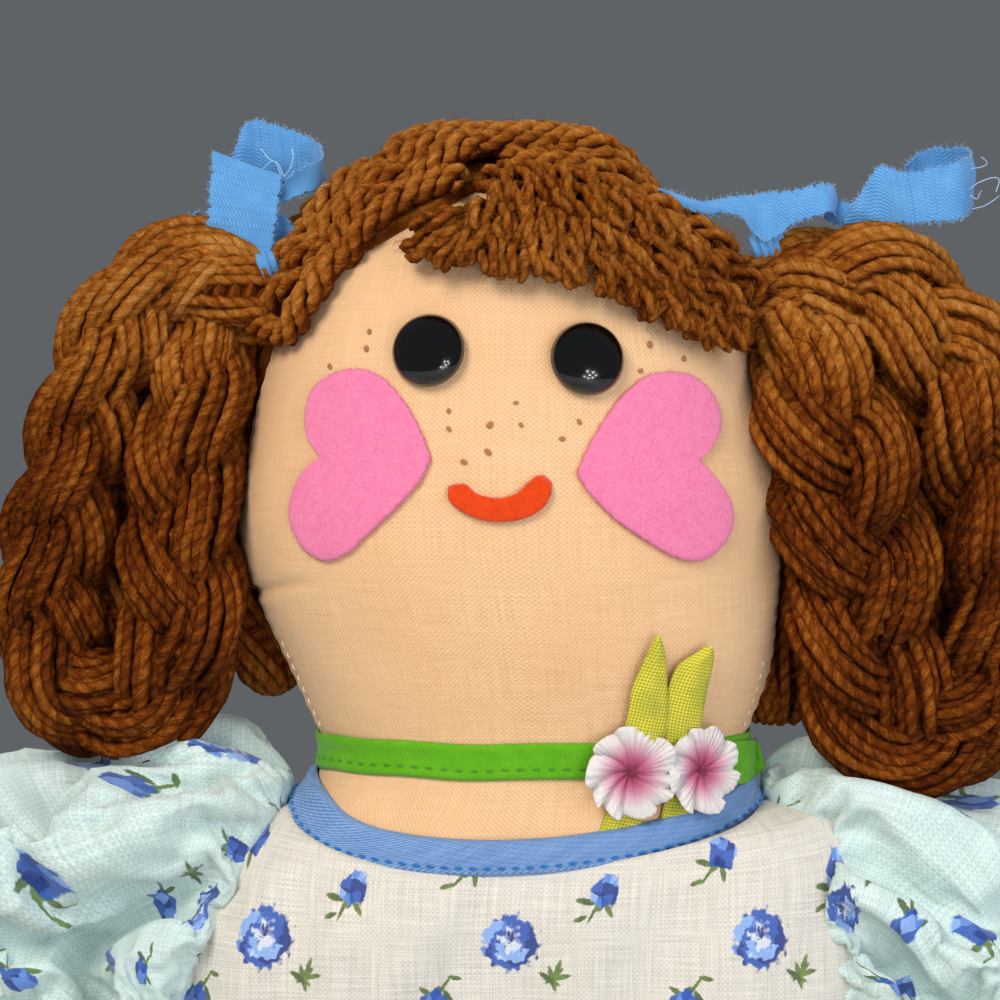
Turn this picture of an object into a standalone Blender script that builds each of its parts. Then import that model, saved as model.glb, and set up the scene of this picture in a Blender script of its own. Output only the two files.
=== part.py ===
"""Sitting rag doll: stuffed muslin body, yarn hair in two looped pigtails, and a printed dress.

Metres, +Z up. The doll faces -Y and sits on z = 0, with its left side towards +X.
"""

import math

import bmesh
import bpy
import numpy as np
from mathutils import Matrix, Vector

# Clearances
SEWN_GAP = 0.0003
FACET_ROOM = 0.0006
FLOOR_CUT = 0.0005
CUT_OVERRUN = 0.030

# Stuffed body, from the seat up to the neck seam
TORSO_HEIGHT = 0.195
SHOULDER_WIDTH = 0.143
TORSO_DEPTH = 0.080
NECK_WIDTH = 0.108
NECK_DEPTH = 0.066
NECK_LEAN = 0.006
BODY_POWER_SHARE = 2.2
WAIST_HEIGHT = 0.098
# Height, width, depth and sideways lean, as shares of the four sizes above
TORSO_SHARES = (
    (0.00, 0.86, 0.96, 0.0),
    (0.05, 0.95, 1.04, 0.0),
    (0.16, 1.01, 1.10, 0.0),
    (0.36, 0.975, 1.06, 0.0),
    (0.52, 0.965, 1.00, 0.0),
    (0.70, 1.00, 0.98, 0.0),
    (0.79, 1.00, 0.96, 0.0),
    (0.86, 0.965, 0.92, 0.15),
    (0.915, 0.88, 0.87, 0.5),
    (0.96, 0.785, 0.835, 0.85),
    (1.00, NECK_WIDTH / SHOULDER_WIDTH, NECK_DEPTH / TORSO_DEPTH, 1.0),
)

# Head, from the neck seam up
HEAD_HEIGHT = 0.150
HEAD_WIDTH = 0.138
HEAD_DEPTH = 0.088
HEAD_SHARES = (
    (0.000, NECK_WIDTH / HEAD_WIDTH, NECK_DEPTH / HEAD_DEPTH, 1.0),
    (0.035, 0.790, 0.765, 1.0),
    (0.147, 0.885, 0.865, 0.83),
    (0.270, 0.962, 0.955, 0.35),
    (0.375, 1.000, 1.000, 0.0),
    (0.480, 0.985, 1.000, 0.0),
    (0.640, 0.905, 0.950, 0.0),
    (0.760, 0.825, 0.850, 0.0),
    (0.860, 0.725, 0.725, 0.0),
    (0.930, 0.580, 0.570, 0.0),
    (0.972, 0.400, 0.390, 0.0),
    (0.994, 0.190, 0.185, 0.0),
    (1.000, 0.000, 0.000, 0.0),
)

# Arms, hung from a round seat in the torso's side
SHOULDER_ABOVE_WAIST = 0.052
SHOULDER_HEIGHT = WAIST_HEIGHT + SHOULDER_ABOVE_WAIST
SHOULDER_SEAT_DEPTH = 0.0075
ARM_RADIUS = 0.0205
ARM_LENGTH = 0.150
ARM_SPREAD_ANGLE = math.radians(40.0)
ARM_BEND_LENGTH = 0.020
# Distance along the arm and radius, as shares of its length and radius
ARM_SHARES = (
    (0.00, 0.80),
    (0.03, 0.97),
    (0.16, 1.00),
    (0.45, 0.94),
    (0.68, 0.86),
    (0.77, 0.80),
    (0.87, 0.92),
    (0.95, 0.74),
    (0.99, 0.36),
    (1.00, 0.00),
)
ARM_FLATNESS_SHARE = 0.90

# Legs, lying forward on the floor from the hips
HIP_SPACING = 0.078
HIP_FORWARD = 0.040
LEG_RADIUS = 0.0255
LEG_LENGTH = 0.215
LEG_SPLAY_ANGLE = math.radians(6.0)
FOOT_LENGTH = 0.046
CROTCH_WIDTH = 0.018
LEG_LIFT_ANGLE = math.radians(42.0)
# Distance along the leg and radius, as shares of its length and radius
LEG_SHARES = (
    (0.00, 1.00),
    (0.30, 0.95),
    (0.52, 0.86),
    (0.68, 0.90),
    (0.84, 0.74),
    (0.93, 0.68),
    (1.00, 0.70),
)

# Button eyes
EYE_DIAMETER = 0.0170
EYE_DOME = 0.0058
EYE_RIM = 0.0012
EYE_HEIGHT = 0.1015
LEFT_EYE_ACROSS = 0.0185
RIGHT_EYE_ACROSS = -0.0195
EYE_TILT_HEIGHT = 0.0010

# Felt pieces
FELT_THICKNESS = 0.0015
LEFT_CHEEK_LENGTH = 0.0372
RIGHT_CHEEK_LENGTH = 0.0342
CHEEK_WIDTH = 0.0455
CHEEK_HEIGHT = 0.0765
LEFT_CHEEK_TIP_ACROSS = 0.0160
RIGHT_CHEEK_TIP_ACROSS = 0.0192
# Outline of a cheek from its point round the upper lobe to the notch and back:
# along and across, as shares of its length and of half its width
CHEEK_SHARES = (
    (0.00, 0.00), (0.06, 0.21), (0.20, 0.52), (0.42, 0.86), (0.66, 1.00), (0.86, 0.88),
    (0.95, 0.58), (0.92, 0.24), (0.80, 0.02),
    (0.93, -0.20), (1.00, -0.50), (0.95, -0.82), (0.78, -1.00), (0.55, -0.93),
    (0.30, -0.66), (0.10, -0.30),
)
MOUTH_WIDTH = 0.0262
MOUTH_DROP = 0.0088
MOUTH_THICK = 0.0066
MOUTH_HEIGHT = 0.0635
MOUTH_ACROSS = -0.0022

# Neck band with its ribbon flowers and leaves
BAND_WIDTH = 0.0092
BAND_THICKNESS = 0.0012
BAND_RISE_HEIGHT = 0.0020
RIBBON_THICKNESS = 0.0006
LEAF_WIDTH = 0.0080
LEAF_TOP_HEIGHT = 0.0300
LEAF_TOP_ACROSS = (0.0370, 0.0490)
LEAF_FOOT_ACROSS = (0.0280, 0.0415)
FLOWER_RADIUS = (0.0100, 0.0098)
FLOWER_ACROSS = (0.0290, 0.0488)
FLOWER_THICKNESS = 0.0012
FLOWER_CUP = 0.0022
FLOWER_PLEATS = 7

# Dress
CLOTH_THICKNESS = 0.0012
NECKLINE_FRONT_HEIGHT = 0.1738
NECKLINE_SIDE_HEIGHT = 0.1874
NECKLINE_BACK_HEIGHT = 0.1830
BINDING_WIDTH = 0.0092
BINDING_THICKNESS = 0.0018
ARMHOLE_HEIGHT = 0.056
ARMHOLE_DEPTH = 0.052
SLEEVE_PUFF = 0.0150
LEFT_SLEEVE_RISE = 0.0010
RIGHT_SLEEVE_RISE = 0.0120
SLEEVE_LENGTH = 0.070
CUFF_FRILL = 0.0060
ELASTIC_WIDTH = 0.0040
ELASTIC_THICKNESS = 0.0009
SLEEVE_FOLDS = 6
SLEEVE_FOLD_SHARE = 0.05
SKIRT_FRONT_REACH = 0.088
SKIRT_SIDE_REACH = 0.052
SKIRT_BACK_REACH = 0.050
SKIRT_HEM_HEIGHT = 0.0030
SKIRT_FOLD = 0.0042
SKIRT_FOLDS = 12
LAP_CLEARANCE = 0.0042
BACK_BUTTON_RADIUS = 0.0045
BACK_BUTTON_THICKNESS = 0.0020
BACK_BUTTON_SPACING = 0.026
BACK_BUTTONS = 3

# Hair
HAIR_THICKNESS = 0.0095
HAIR_EDGE_THICKNESS = 0.0045
# Lower edge of the hair: degrees from the front round to the doll's left, and share of the head's height
HAIRLINE_SHARES = (
    (-180.0, 0.22), (-135.0, 0.28), (-112.0, 0.42), (-95.0, 0.62), (-75.0, 0.72), (-50.0, 0.80),
    (-30.0, 0.87), (-12.0, 0.930), (10.0, 0.925), (35.0, 0.890), (60.0, 0.80), (80.0, 0.69),
    (97.0, 0.60), (112.0, 0.42), (135.0, 0.28), (180.0, 0.22),
)
FRINGE_THICKNESS = 0.0080
# Lower edge of the fringe, in the same terms
FRINGE_SHARES = (
    (-31.0, 0.830), (-24.0, 0.812), (14.0, 0.810), (26.0, 0.792), (36.0, 0.752), (56.0, 0.706), (68.0, 0.684),
)
PIGTAIL_AXIS_HEIGHT = 0.1165
PIGTAIL_FORWARD = 0.006
GATHER_RADIUS = 0.0085
GATHER_LENGTH = 0.0075
TIE_WIDTH = 0.0060
STRAND_RADIUS = 0.0125
PIGTAIL_WIDTH = 0.062
PIGTAIL_DROP = 0.114
# The doll's right and left pigtails: outwards and downwards along the loop, as shares of width and drop,
# with the strand's radius as a share
RIGHT_PIGTAIL_SHARES = (
    (0.00, 0.00, 0.70), (0.13, 0.00, 0.74), (0.30, 0.00, 0.88), (0.50, 0.05, 0.92), (0.66, 0.17, 0.86),
    (0.74, 0.38, 0.82), (0.80, 0.62, 0.84), (0.80, 0.80, 0.90), (0.64, 0.895, 1.00), (0.42, 0.84, 1.08),
    (0.33, 0.66, 1.10), (0.35, 0.48, 1.06), (0.34, 0.32, 0.98), (0.28, 0.215, 0.78), (0.26, 0.19, 0.20),
)
LEFT_PIGTAIL_SHARES = (
    (0.00, 0.00, 0.70), (0.13, 0.00, 0.74), (0.32, 0.00, 0.90), (0.56, 0.05, 0.98), (0.76, 0.16, 0.98),
    (0.90, 0.36, 0.96), (0.96, 0.62, 0.98), (0.97, 0.84, 1.02), (0.80, 1.00, 1.08), (0.55, 0.93, 1.08),
    (0.40, 0.74, 1.06), (0.41, 0.54, 1.10), (0.38, 0.36, 1.04), (0.30, 0.225, 0.80), (0.28, 0.20, 0.20),
)

# Bows: torn strips tied round the gathers
STRIP_WIDTH = 0.0165
STRIP_THICKNESS = 0.0008
TIE_THICKNESS = 0.0014
KNOT_RADIUS = 0.0062
# Each bow's loop and tails: points away from the knot, as shares of the strip's width (X, Y, Z),
# and the direction of the width at each end
RIGHT_BOW_SHARES = (
    (((0.00, -0.10, 0.00), (-0.35, -0.25, 0.75), (-0.25, -0.20, 1.45)), ((0.9, -0.2, 0.3), (1.0, 0.0, 0.1))),
    (((0.00, 0.10, 0.00), (0.45, 0.30, 0.60), (0.55, 0.30, 1.35), (0.30, 0.85, 1.50)),
     ((0.7, 0.4, 0.2), (0.8, 0.5, -0.2))),
)
LEFT_BOW_SHARES = (
    (((0.00, 0.00, 0.00), (-0.65, -0.10, 0.85), (-1.60, -0.10, 1.50)), ((0.1, 1.0, 0.2), (0.0, 1.0, 0.3))),
    (((0.00, 0.00, 0.10), (0.60, -0.10, 0.60), (1.40, -0.15, 0.85), (2.60, -0.20, 1.35)),
     ((0.1, 1.0, 0.3), (0.0, 0.9, 0.6))),
)

# Faces round a section, and rows along it
BODY_SIDES = 32
LIMB_SIDES = 16
SLEEVE_SIDES = 24
STRAND_SIDES = 12
BUTTON_SIDES = 12
SKIRT_SIDES_PER_FOLD = 4
PLEAT_SIDES = 4
TABLE_SAMPLES = 60


def finish(name, colour, roughness, metallic=0.0):
    """A plain material in an sRGB colour given as six hex digits."""
    made = bpy.data.materials.new(name)
    made.use_nodes = True
    shader = made.node_tree.nodes["Principled BSDF"]
    parts = [int(colour[i:i + 2], 16) / 255.0 for i in (0, 2, 4)]
    linear = [c / 12.92 if c <= 0.04045 else ((c + 0.055) / 1.055) ** 2.4 for c in parts]
    shader.inputs["Base Color"].default_value = (*linear, 1.0)
    shader.inputs["Roughness"].default_value = roughness
    shader.inputs["Metallic"].default_value = metallic
    made.diffuse_color = (*linear, 1.0)
    return made


def curve_through(points, count):
    """A smooth curve through the points, as count points at even steps of the curve's own length."""
    points = np.array(points, float)
    padded = np.vstack([2 * points[0] - points[1], points, 2 * points[-1] - points[-2]])
    steps = np.linspace(0.0, 1.0, TABLE_SAMPLES, endpoint=False)[:, None]
    runs = []
    for before, start, end, after in zip(padded[:-3], padded[1:-2], padded[2:-1], padded[3:]):
        runs.append(
            start
            + 0.5 * steps * (end - before)
            + steps ** 2 * (before - 2.5 * start + 2.0 * end - 0.5 * after)
            + 0.5 * steps ** 3 * (-before + 3.0 * start - 3.0 * end + after)
        )
    dense = np.vstack(runs + [points[-1:]])
    travelled = np.concatenate([[0.0], np.cumsum(np.linalg.norm(np.diff(dense[:, :2], axis=0), axis=1))])
    wanted = np.linspace(0.0, travelled[-1], count)
    return np.stack([np.interp(wanted, travelled, column) for column in dense.T], axis=1)


def table_value(table, at):
    """The smooth curve through a table of pairs, read at the values given."""
    curve = curve_through(table, TABLE_SAMPLES * len(table))
    return np.interp(at, curve[:, 0], curve[:, 1])


class StuffedForm:
    """An upright stuffed form: rounded sections whose width, depth and lean change with height."""

    def __init__(self, base, height, width, depth, lean, shares):
        sizes = (height, width / 2, depth / 2, lean)
        profile = [tuple(share * size for share, size in zip(row, sizes)) for row in shares]
        self.base = base
        self.top = base + height
        self.profile = curve_through(profile, TABLE_SAMPLES * len(profile))
        self.profile[:, 0] += base

    def section(self, z):
        """Half width, half depth and lean at the heights given, with their rates of change."""
        heights = self.profile[:, 0]
        values = [np.interp(z, heights, self.profile[:, i]) for i in (1, 2, 3)]
        step = (self.top - self.base) / TABLE_SAMPLES / 4
        above = [np.interp(z + step, heights, self.profile[:, i]) for i in (1, 2, 3)]
        below = [np.interp(z - step, heights, self.profile[:, i]) for i in (1, 2, 3)]
        rates = [(a - b) / (2 * step) for a, b in zip(above, below)]
        return values, rates

    def lifted(self, points, lift):
        """Points on the form moved out along its normals, from the slope of its rounded section."""
        power = BODY_POWER_SHARE
        (half_width, half_depth, lean), (width_rate, depth_rate, lean_rate) = self.section(points[..., 2])
        floor = (self.top - self.base) * 1e-5
        half_width = np.maximum(half_width, floor)
        half_depth = np.maximum(half_depth, floor)
        across = (points[..., 0] - lean) / half_width
        along = points[..., 1] / half_depth
        pull_x = np.sign(across) * np.abs(across) ** (power - 1)
        pull_y = np.sign(along) * np.abs(along) ** (power - 1)
        slope = -pull_x * (lean_rate + across * width_rate) / half_width
        slope -= pull_y * along * depth_rate / half_depth
        normal = np.stack([pull_x / half_width, pull_y / half_depth, slope], axis=-1)
        normal /= np.maximum(np.linalg.norm(normal, axis=-1, keepdims=True), 1e-12)
        return points + normal * np.asarray(lift)[..., None]

    def around(self, angles, z, lift=0.0):
        """Points at angles from +X, counter-clockwise, at the heights given, lifted off the form."""
        angles, z = np.broadcast_arrays(angles, z)
        (half_width, half_depth, lean), _ = self.section(z)
        power = 2.0 / BODY_POWER_SHARE
        x = lean + half_width * np.sign(np.cos(angles)) * np.abs(np.cos(angles)) ** power
        y = half_depth * np.sign(np.sin(angles)) * np.abs(np.sin(angles)) ** power
        lift = np.broadcast_to(lift, x.shape)
        return self.lifted(np.stack([x, y, z], axis=-1), lift)

    def front(self, x, z, lift=0.0, side=-1.0):
        """Points straight on the front (or, with side 1, the back) of the form, lifted off it."""
        (half_width, half_depth, lean), _ = self.section(z)
        across = np.clip(np.abs((x - lean) / half_width), 0.0, 0.999)
        y = side * half_depth * (1.0 - across ** BODY_POWER_SHARE) ** (1.0 / BODY_POWER_SHARE)
        lift = np.broadcast_to(lift, y.shape)
        return self.lifted(np.stack([x, y, z], axis=-1), lift)

    def row_heights(self, count, low=None, high=None):
        """Heights at even steps of the profile's own length, so that a dome gets rows enough."""
        low = self.base if low is None else low
        high = self.top if high is None else high
        steps = np.hypot(np.diff(self.profile[:, 0]), np.diff(self.profile[:, 1]))
        travelled = np.concatenate([[0.0], np.cumsum(steps)])
        ends = np.interp([low, high], self.profile[:, 0], travelled)
        return np.interp(np.linspace(*ends, count), travelled, self.profile[:, 0])


def loft(name, rows, material, ring=False, smooth_angle=40.0):
    """Skins closed rows of points. Its ends are closed by faces, or joined to each other in a ring."""
    mesh = bpy.data.meshes.new(name)
    built = bmesh.new()
    loops = [[built.verts.new(point) for point in row] for row in rows]
    pairs = list(zip(loops, loops[1:]))
    if ring:
        pairs.append((loops[-1], loops[0]))
    for lower, upper in pairs:
        longest = max(len(lower), len(upper))
        for i in range(longest):
            j = (i + 1) % longest
            corners = [lower[i % len(lower)], lower[j % len(lower)], upper[j % len(upper)], upper[i % len(upper)]]
            built.faces.new(list(dict.fromkeys(corners)))
    if not ring:
        for loop in (loops[0], loops[-1]):
            if len(loop) > 1:
                built.faces.new(loop)
    bmesh.ops.recalc_face_normals(built, faces=built.faces)
    built.to_mesh(mesh)
    built.free()
    return place(name, mesh, material, smooth_angle)


def place(name, mesh, material, smooth_angle=40.0):
    """Puts a mesh in the scene as a named, smooth-shaded object in its material."""
    made = bpy.data.objects.new(name, mesh)
    bpy.context.scene.collection.objects.link(made)
    mesh.materials.append(material)
    mesh.shade_smooth()
    mesh.set_sharp_from_angle(angle=math.radians(smooth_angle))
    return made


def slab(name, outer, inner, material):
    """A sheet with thickness: two grids of points joined round their edges."""
    rows, columns = outer.shape[:2]
    edge = [(0, j) for j in range(columns)] + [(i, columns - 1) for i in range(1, rows)]
    edge += [(rows - 1, j) for j in range(columns - 2, -1, -1)] + [(i, 0) for i in range(rows - 2, 0, -1)]
    mesh = bpy.data.meshes.new(name)
    built = bmesh.new()
    sheets = [[[built.verts.new(point) for point in row] for row in grid] for grid in (outer, inner)]
    for sheet in sheets:
        for i in range(rows - 1):
            for j in range(columns - 1):
                built.faces.new([sheet[i][j], sheet[i][j + 1], sheet[i + 1][j + 1], sheet[i + 1][j]])
    for (i, j), (k, m) in zip(edge, edge[1:] + edge[:1]):
        built.faces.new([sheets[0][i][j], sheets[0][k][m], sheets[1][k][m], sheets[1][i][j]])
    bmesh.ops.recalc_face_normals(built, faces=built.faces)
    built.to_mesh(mesh)
    built.free()
    return place(name, mesh, material)


def cut(target, cutter):
    """Takes the cutter's shape out of the target."""
    cutter.hide_render = True
    cutter.display_type = "WIRE"
    modifier = target.modifiers.new("cut " + cutter.name, "BOOLEAN")
    modifier.operation = "DIFFERENCE"
    modifier.object = cutter


def fuse(name, pieces, material):
    """One closed body from overlapping pieces, the first of which becomes the object."""
    body = pieces[0]
    for piece in pieces[1:]:
        piece.hide_render = True
        piece.display_type = "WIRE"
        modifier = body.modifiers.new("join " + piece.name, "BOOLEAN")
        modifier.operation = "UNION"
        modifier.object = piece
    body.name = name
    body.data.materials.clear()
    body.data.materials.append(material)
    return body


def cylinder_along_x(name, start, end, centre, radius_y, radius_z, sides=LIMB_SIDES * 2):
    """A closed round or oval bar along X, used as a cutter."""
    angles = np.linspace(0.0, 2 * math.pi, sides, endpoint=False)
    y = centre[0] + radius_y * np.cos(angles)
    z = centre[1] + radius_z * np.sin(angles)
    rows = [np.stack([np.full(sides, x), y, z], axis=1) for x in sorted((start, end))]
    bar = loft(name, rows, bpy.data.materials[0])
    bar.hide_render = True
    bar.display_type = "WIRE"
    return bar


def turned(name, profile, place_at, normal, material, sides=24):
    """A turned piece: (radius, height) pairs swung round the normal at a point."""
    angles = np.linspace(0.0, 2 * math.pi, sides, endpoint=False)
    rows = []
    for radius, height in profile:
        if radius == 0.0:
            rows.append(np.array([[0.0, 0.0, height]]))
        else:
            rows.append(np.stack([radius * np.cos(angles), radius * np.sin(angles), np.full(sides, height)], axis=1))
    turn = np.array(Vector((0.0, 0.0, 1.0)).rotation_difference(Vector(normal)).to_matrix())
    rows = [row @ turn.T + np.asarray(place_at) for row in rows]
    return loft(name, rows, material)


def around_body(sides):
    """Even angles round an upright body."""
    return np.linspace(0.0, 2 * math.pi, sides, endpoint=False)


def from_front(angles):
    """Angles turned to degrees from the front, -180 to 180, positive to the doll's left."""
    return (np.degrees(angles) + 90.0 + 180.0) % 360.0 - 180.0


def wrapped_shell(name, form, low, high, gap, thickness, rows, material, sides=BODY_SIDES):
    """A ring of cloth on a stuffed form, from one edge height to another, each given round the body."""
    angles = around_body(sides)
    steps = np.linspace(0.0, 1.0, rows)
    heights = [low + (high - low) * step for step in steps]
    outer = [form.around(angles, z, gap + thickness) for z in heights]
    inner = [form.around(angles, z, gap) for z in reversed(heights)]
    return loft(name, outer + inner, material, ring=True)


def on_form(*layers):
    """How far a piece is lifted off a stuffed form: its gap, with room for facets, over the layers below it."""
    return FACET_ROOM + SEWN_GAP + sum(layer + SEWN_GAP for layer in layers)


def stuffed_body(name, form, rows, material):
    """The stuffed form itself, closed at its base and at its top."""
    angles = around_body(BODY_SIDES)
    made = []
    for z in form.row_heights(rows):
        row = form.around(angles, np.full(BODY_SIDES, z))
        if np.ptp(row[:, 0]) < (form.top - form.base) * 1e-3:
            row = row.mean(axis=0, keepdims=True)
        made.append(row)
    return loft(name, made, material)


def neckline_height(angles):
    """Height of the neckline round the body: low in front, highest over the shoulders."""
    front = np.clip(-np.sin(angles), 0.0, 1.0) ** 1.6
    back = np.clip(np.sin(angles), 0.0, 1.0) ** 1.6
    drop_front = (NECKLINE_SIDE_HEIGHT - NECKLINE_FRONT_HEIGHT) * front
    drop_back = (NECKLINE_SIDE_HEIGHT - NECKLINE_BACK_HEIGHT) * back
    return NECKLINE_SIDE_HEIGHT - drop_front - drop_back


def shoulder_seat(torso_form):
    """How far out the flat of the round shoulder seat lies."""
    return torso_form.section(SHOULDER_HEIGHT)[0][0] - SHOULDER_SEAT_DEPTH


def hang(made, point, carried=()):
    """Puts a moving piece's origin on its joint's axis, and hangs the pieces that it carries on it."""
    made.data.transform(Matrix.Translation(-Vector(point)))
    made.location = point
    for piece in carried:
        piece.data.transform(Matrix.Translation(-Vector(point)))
        piece.parent = made


def build_torso(form, skin):
    """Stuffed body with a round seat for each arm and a rounded hollow for each thigh."""
    torso = stuffed_body("torso", form, 24, skin)
    seat = shoulder_seat(form)
    reach = SHOULDER_WIDTH / 2 + CUT_OVERRUN
    arm_hole = ARM_RADIUS + 4 * SEWN_GAP
    thigh_hole = LEG_RADIUS + SEWN_GAP
    for side in (1.0, -1.0):
        label = "left" if side > 0 else "right"
        bar = cylinder_along_x(
            label + "_shoulder_cut", side * seat, side * reach, (0.0, SHOULDER_HEIGHT), arm_hole, arm_hole
        )
        cut(torso, bar)
        cut(torso, thigh_cutter(label + "_hip_cut", side * CROTCH_WIDTH / 2, side * reach, thigh_hole))
    return torso


def thigh_cutter(name, start, end, radius):
    """The room that a thigh sweeps from hanging straight down to fully raised, as a bar along X."""
    turns = np.linspace(0.0, math.pi / 2 - LEG_LIFT_ANGLE, LIMB_SIDES)
    y = radius * np.cos(turns)
    z = radius * np.sin(turns)
    raised_y, raised_z = -math.cos(LEG_LIFT_ANGLE) * TORSO_DEPTH, math.sin(LEG_LIFT_ANGLE) * TORSO_DEPTH
    y = np.concatenate([[radius], y, [y[-1] + raised_y, -TORSO_DEPTH, -TORSO_DEPTH]]) - HIP_FORWARD
    z = np.concatenate([[-TORSO_DEPTH], z, [z[-1] + raised_z, z[-1] + raised_z, -TORSO_DEPTH]]) + leg_centre_height()
    rows = [np.stack([np.full(len(y), x), y, z], axis=1) for x in sorted((start, end))]
    bar = loft(name, rows, bpy.data.materials[0])
    bar.hide_render = True
    bar.display_type = "WIRE"
    return bar


def leg_centre_height():
    """Height of the hip axis, so that the thigh sinks into the floor by the flat cut alone."""
    return LEG_RADIUS - FLOOR_CUT


def arm_path(form, count, length=ARM_LENGTH):
    """Centre line of an arm: out of the seat along X, round a short bend and down at its spread angle."""
    seat = shoulder_seat(form) + SEWN_GAP
    along = np.array([math.sin(ARM_SPREAD_ANGLE), -math.cos(ARM_SPREAD_ANGLE)])
    root = np.array([seat, SHOULDER_HEIGHT])
    start = root + np.array([SHOULDER_SEAT_DEPTH, 0.0])
    corner = start + np.array([ARM_BEND_LENGTH / 2, 0.0])
    travelled = np.linspace(0.0, length, count)
    points = []
    for distance in travelled:
        turned_by = (distance - SHOULDER_SEAT_DEPTH) / ARM_BEND_LENGTH
        if turned_by < 0.0:
            point = root + np.array([distance, 0.0])
        elif turned_by < 1.0:
            end = corner + along * ARM_BEND_LENGTH / 2
            point = (1 - turned_by) ** 2 * start + 2 * turned_by * (1 - turned_by) * corner + turned_by ** 2 * end
        else:
            point = corner + along * (distance - SHOULDER_SEAT_DEPTH - ARM_BEND_LENGTH / 2)
        points.append(point)
    return np.array(points)


def directions(path):
    """Unit directions along a path."""
    steps = np.gradient(path, axis=0)
    return steps / np.linalg.norm(steps, axis=1, keepdims=True)


def tube_rows(path, along, radii, sides, depth_shares=1.0, centre_y=0.0):
    """Rings round a path in the XZ plane, each square to it. A zero radius closes to a point."""
    angles = np.linspace(0.0, 2 * math.pi, sides, endpoint=False)
    depth_shares = np.broadcast_to(depth_shares, len(path))
    rows = []
    for (x, z), (along_x, along_z), radius, depth_share in zip(path, along, radii, depth_shares):
        if radius == 0.0:
            rows.append(np.array([[x, centre_y, z]]))
            continue
        out = radius * np.cos(angles)
        depth = centre_y + depth_share * radius * np.sin(angles)
        rows.append(np.stack([x - along_z * out, depth, z + along_x * out], axis=1))
    return rows


def sided(rows, side):
    """Rows built for the doll's left, mirrored for its right."""
    return [row * np.array([side, 1.0, 1.0]) for row in rows]


def build_arm(name, form, side, skin):
    """Stuffed arm: a round end in the shoulder seat, a narrower wrist and a rounded mitten hand."""
    count = 20
    shares = np.unique(np.concatenate([np.linspace(0.0, 0.9, count - 6), [0.0, 0.03, 0.95, 0.98, 1.0]]))
    path_count = 400
    path = arm_path(form, path_count)
    index = np.round(shares * (path_count - 1)).astype(int)
    radii = ARM_RADIUS * table_value(ARM_SHARES, shares)
    radii[-1] = 0.0
    depth_shares = 1.0 - (1.0 - ARM_FLATNESS_SHARE) * np.minimum(1.0, shares * 3.0)
    rows = tube_rows(path[index], directions(path)[index], radii, LIMB_SIDES, depth_shares)
    return loft(name, sided(rows, side), skin)


def leg_line(distance):
    """Centre of a left leg at distances from the hip, before the foot turns up: x and y."""
    x = HIP_SPACING / 2 + np.asarray(distance) * math.sin(LEG_SPLAY_ANGLE)
    y = -HIP_FORWARD - np.asarray(distance) * math.cos(LEG_SPLAY_ANGLE)
    return x, y


def leg_radius(distance):
    """Radius of a leg at distances from the hip."""
    return LEG_RADIUS * table_value(LEG_SHARES, np.asarray(distance) / LEG_LENGTH)


def build_leg(name, side, skin):
    """Stuffed leg: a round thigh end about the hip axis, calf and ankle, and a foot turned up."""
    angles = np.linspace(0.0, 2 * math.pi, LIMB_SIDES, endpoint=False)
    forward = np.array([math.sin(LEG_SPLAY_ANGLE), -math.cos(LEG_SPLAY_ANGLE), 0.0])
    sideways = np.array([math.cos(LEG_SPLAY_ANGLE), math.sin(LEG_SPLAY_ANGLE), 0.0])
    up = np.array([0.0, 0.0, 1.0])
    hip = np.array([HIP_SPACING / 2, -HIP_FORWARD, leg_centre_height()])
    rows = [(hip - forward * LEG_RADIUS)[None, :]]
    for turn in np.radians([18.0, 36.0, 54.0, 72.0]):
        centre = hip - forward * LEG_RADIUS * math.cos(turn)
        radius = LEG_RADIUS * math.sin(turn)
        rows.append(centre + radius * (np.cos(angles)[:, None] * sideways + np.sin(angles)[:, None] * up))
    heel_radius = float(leg_radius(LEG_LENGTH))
    straight = LEG_LENGTH - heel_radius
    for distance in np.linspace(0.0, straight, 12):
        radius = float(leg_radius(distance))
        centre = hip + forward * distance
        centre[2] = radius - FLOOR_CUT
        rows.append(centre + radius * (np.cos(angles)[:, None] * sideways + np.sin(angles)[:, None] * up))
    pivot = hip + forward * straight
    pivot[2] = 2 * heel_radius - FLOOR_CUT
    for turn in np.radians([18.0, 36.0, 54.0, 72.0, 86.0]):
        out = forward * math.sin(turn) - up * math.cos(turn)
        centre = pivot + out * heel_radius
        normal_up = -out
        rows.append(centre + heel_radius * (
            np.cos(angles)[:, None] * sideways + np.sin(angles)[:, None] * normal_up
        ))
    last = pivot + forward * heel_radius
    toe_shares = ((0.25, 1.02), (0.50, 1.00), (0.72, 0.86), (0.88, 0.62), (0.97, 0.30))
    for along, swell in toe_shares:
        centre = last + up * FOOT_LENGTH * along
        radius = heel_radius * swell
        rows.append(centre + radius * (
            np.cos(angles)[:, None] * sideways - np.sin(angles)[:, None] * forward * 0.86
        ))
    rows.append((last + up * FOOT_LENGTH)[None, :])
    leg = loft(name, sided(rows, side), skin)
    cut_flat(leg)
    return leg


def cut_flat(made):
    """Cuts a piece flat where it lies on the floor."""
    built = bmesh.new()
    built.from_mesh(made.data)
    everything = built.verts[:] + built.edges[:] + built.faces[:]
    result = bmesh.ops.bisect_plane(
        built, geom=everything, plane_co=(0.0, 0.0, 0.0), plane_no=(0.0, 0.0, 1.0), clear_inner=True
    )
    rim = [item for item in result["geom_cut"] if isinstance(item, bmesh.types.BMEdge)]
    bmesh.ops.contextual_create(built, geom=rim)
    bmesh.ops.recalc_face_normals(built, faces=built.faces)
    built.to_mesh(made.data)
    built.free()


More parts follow.
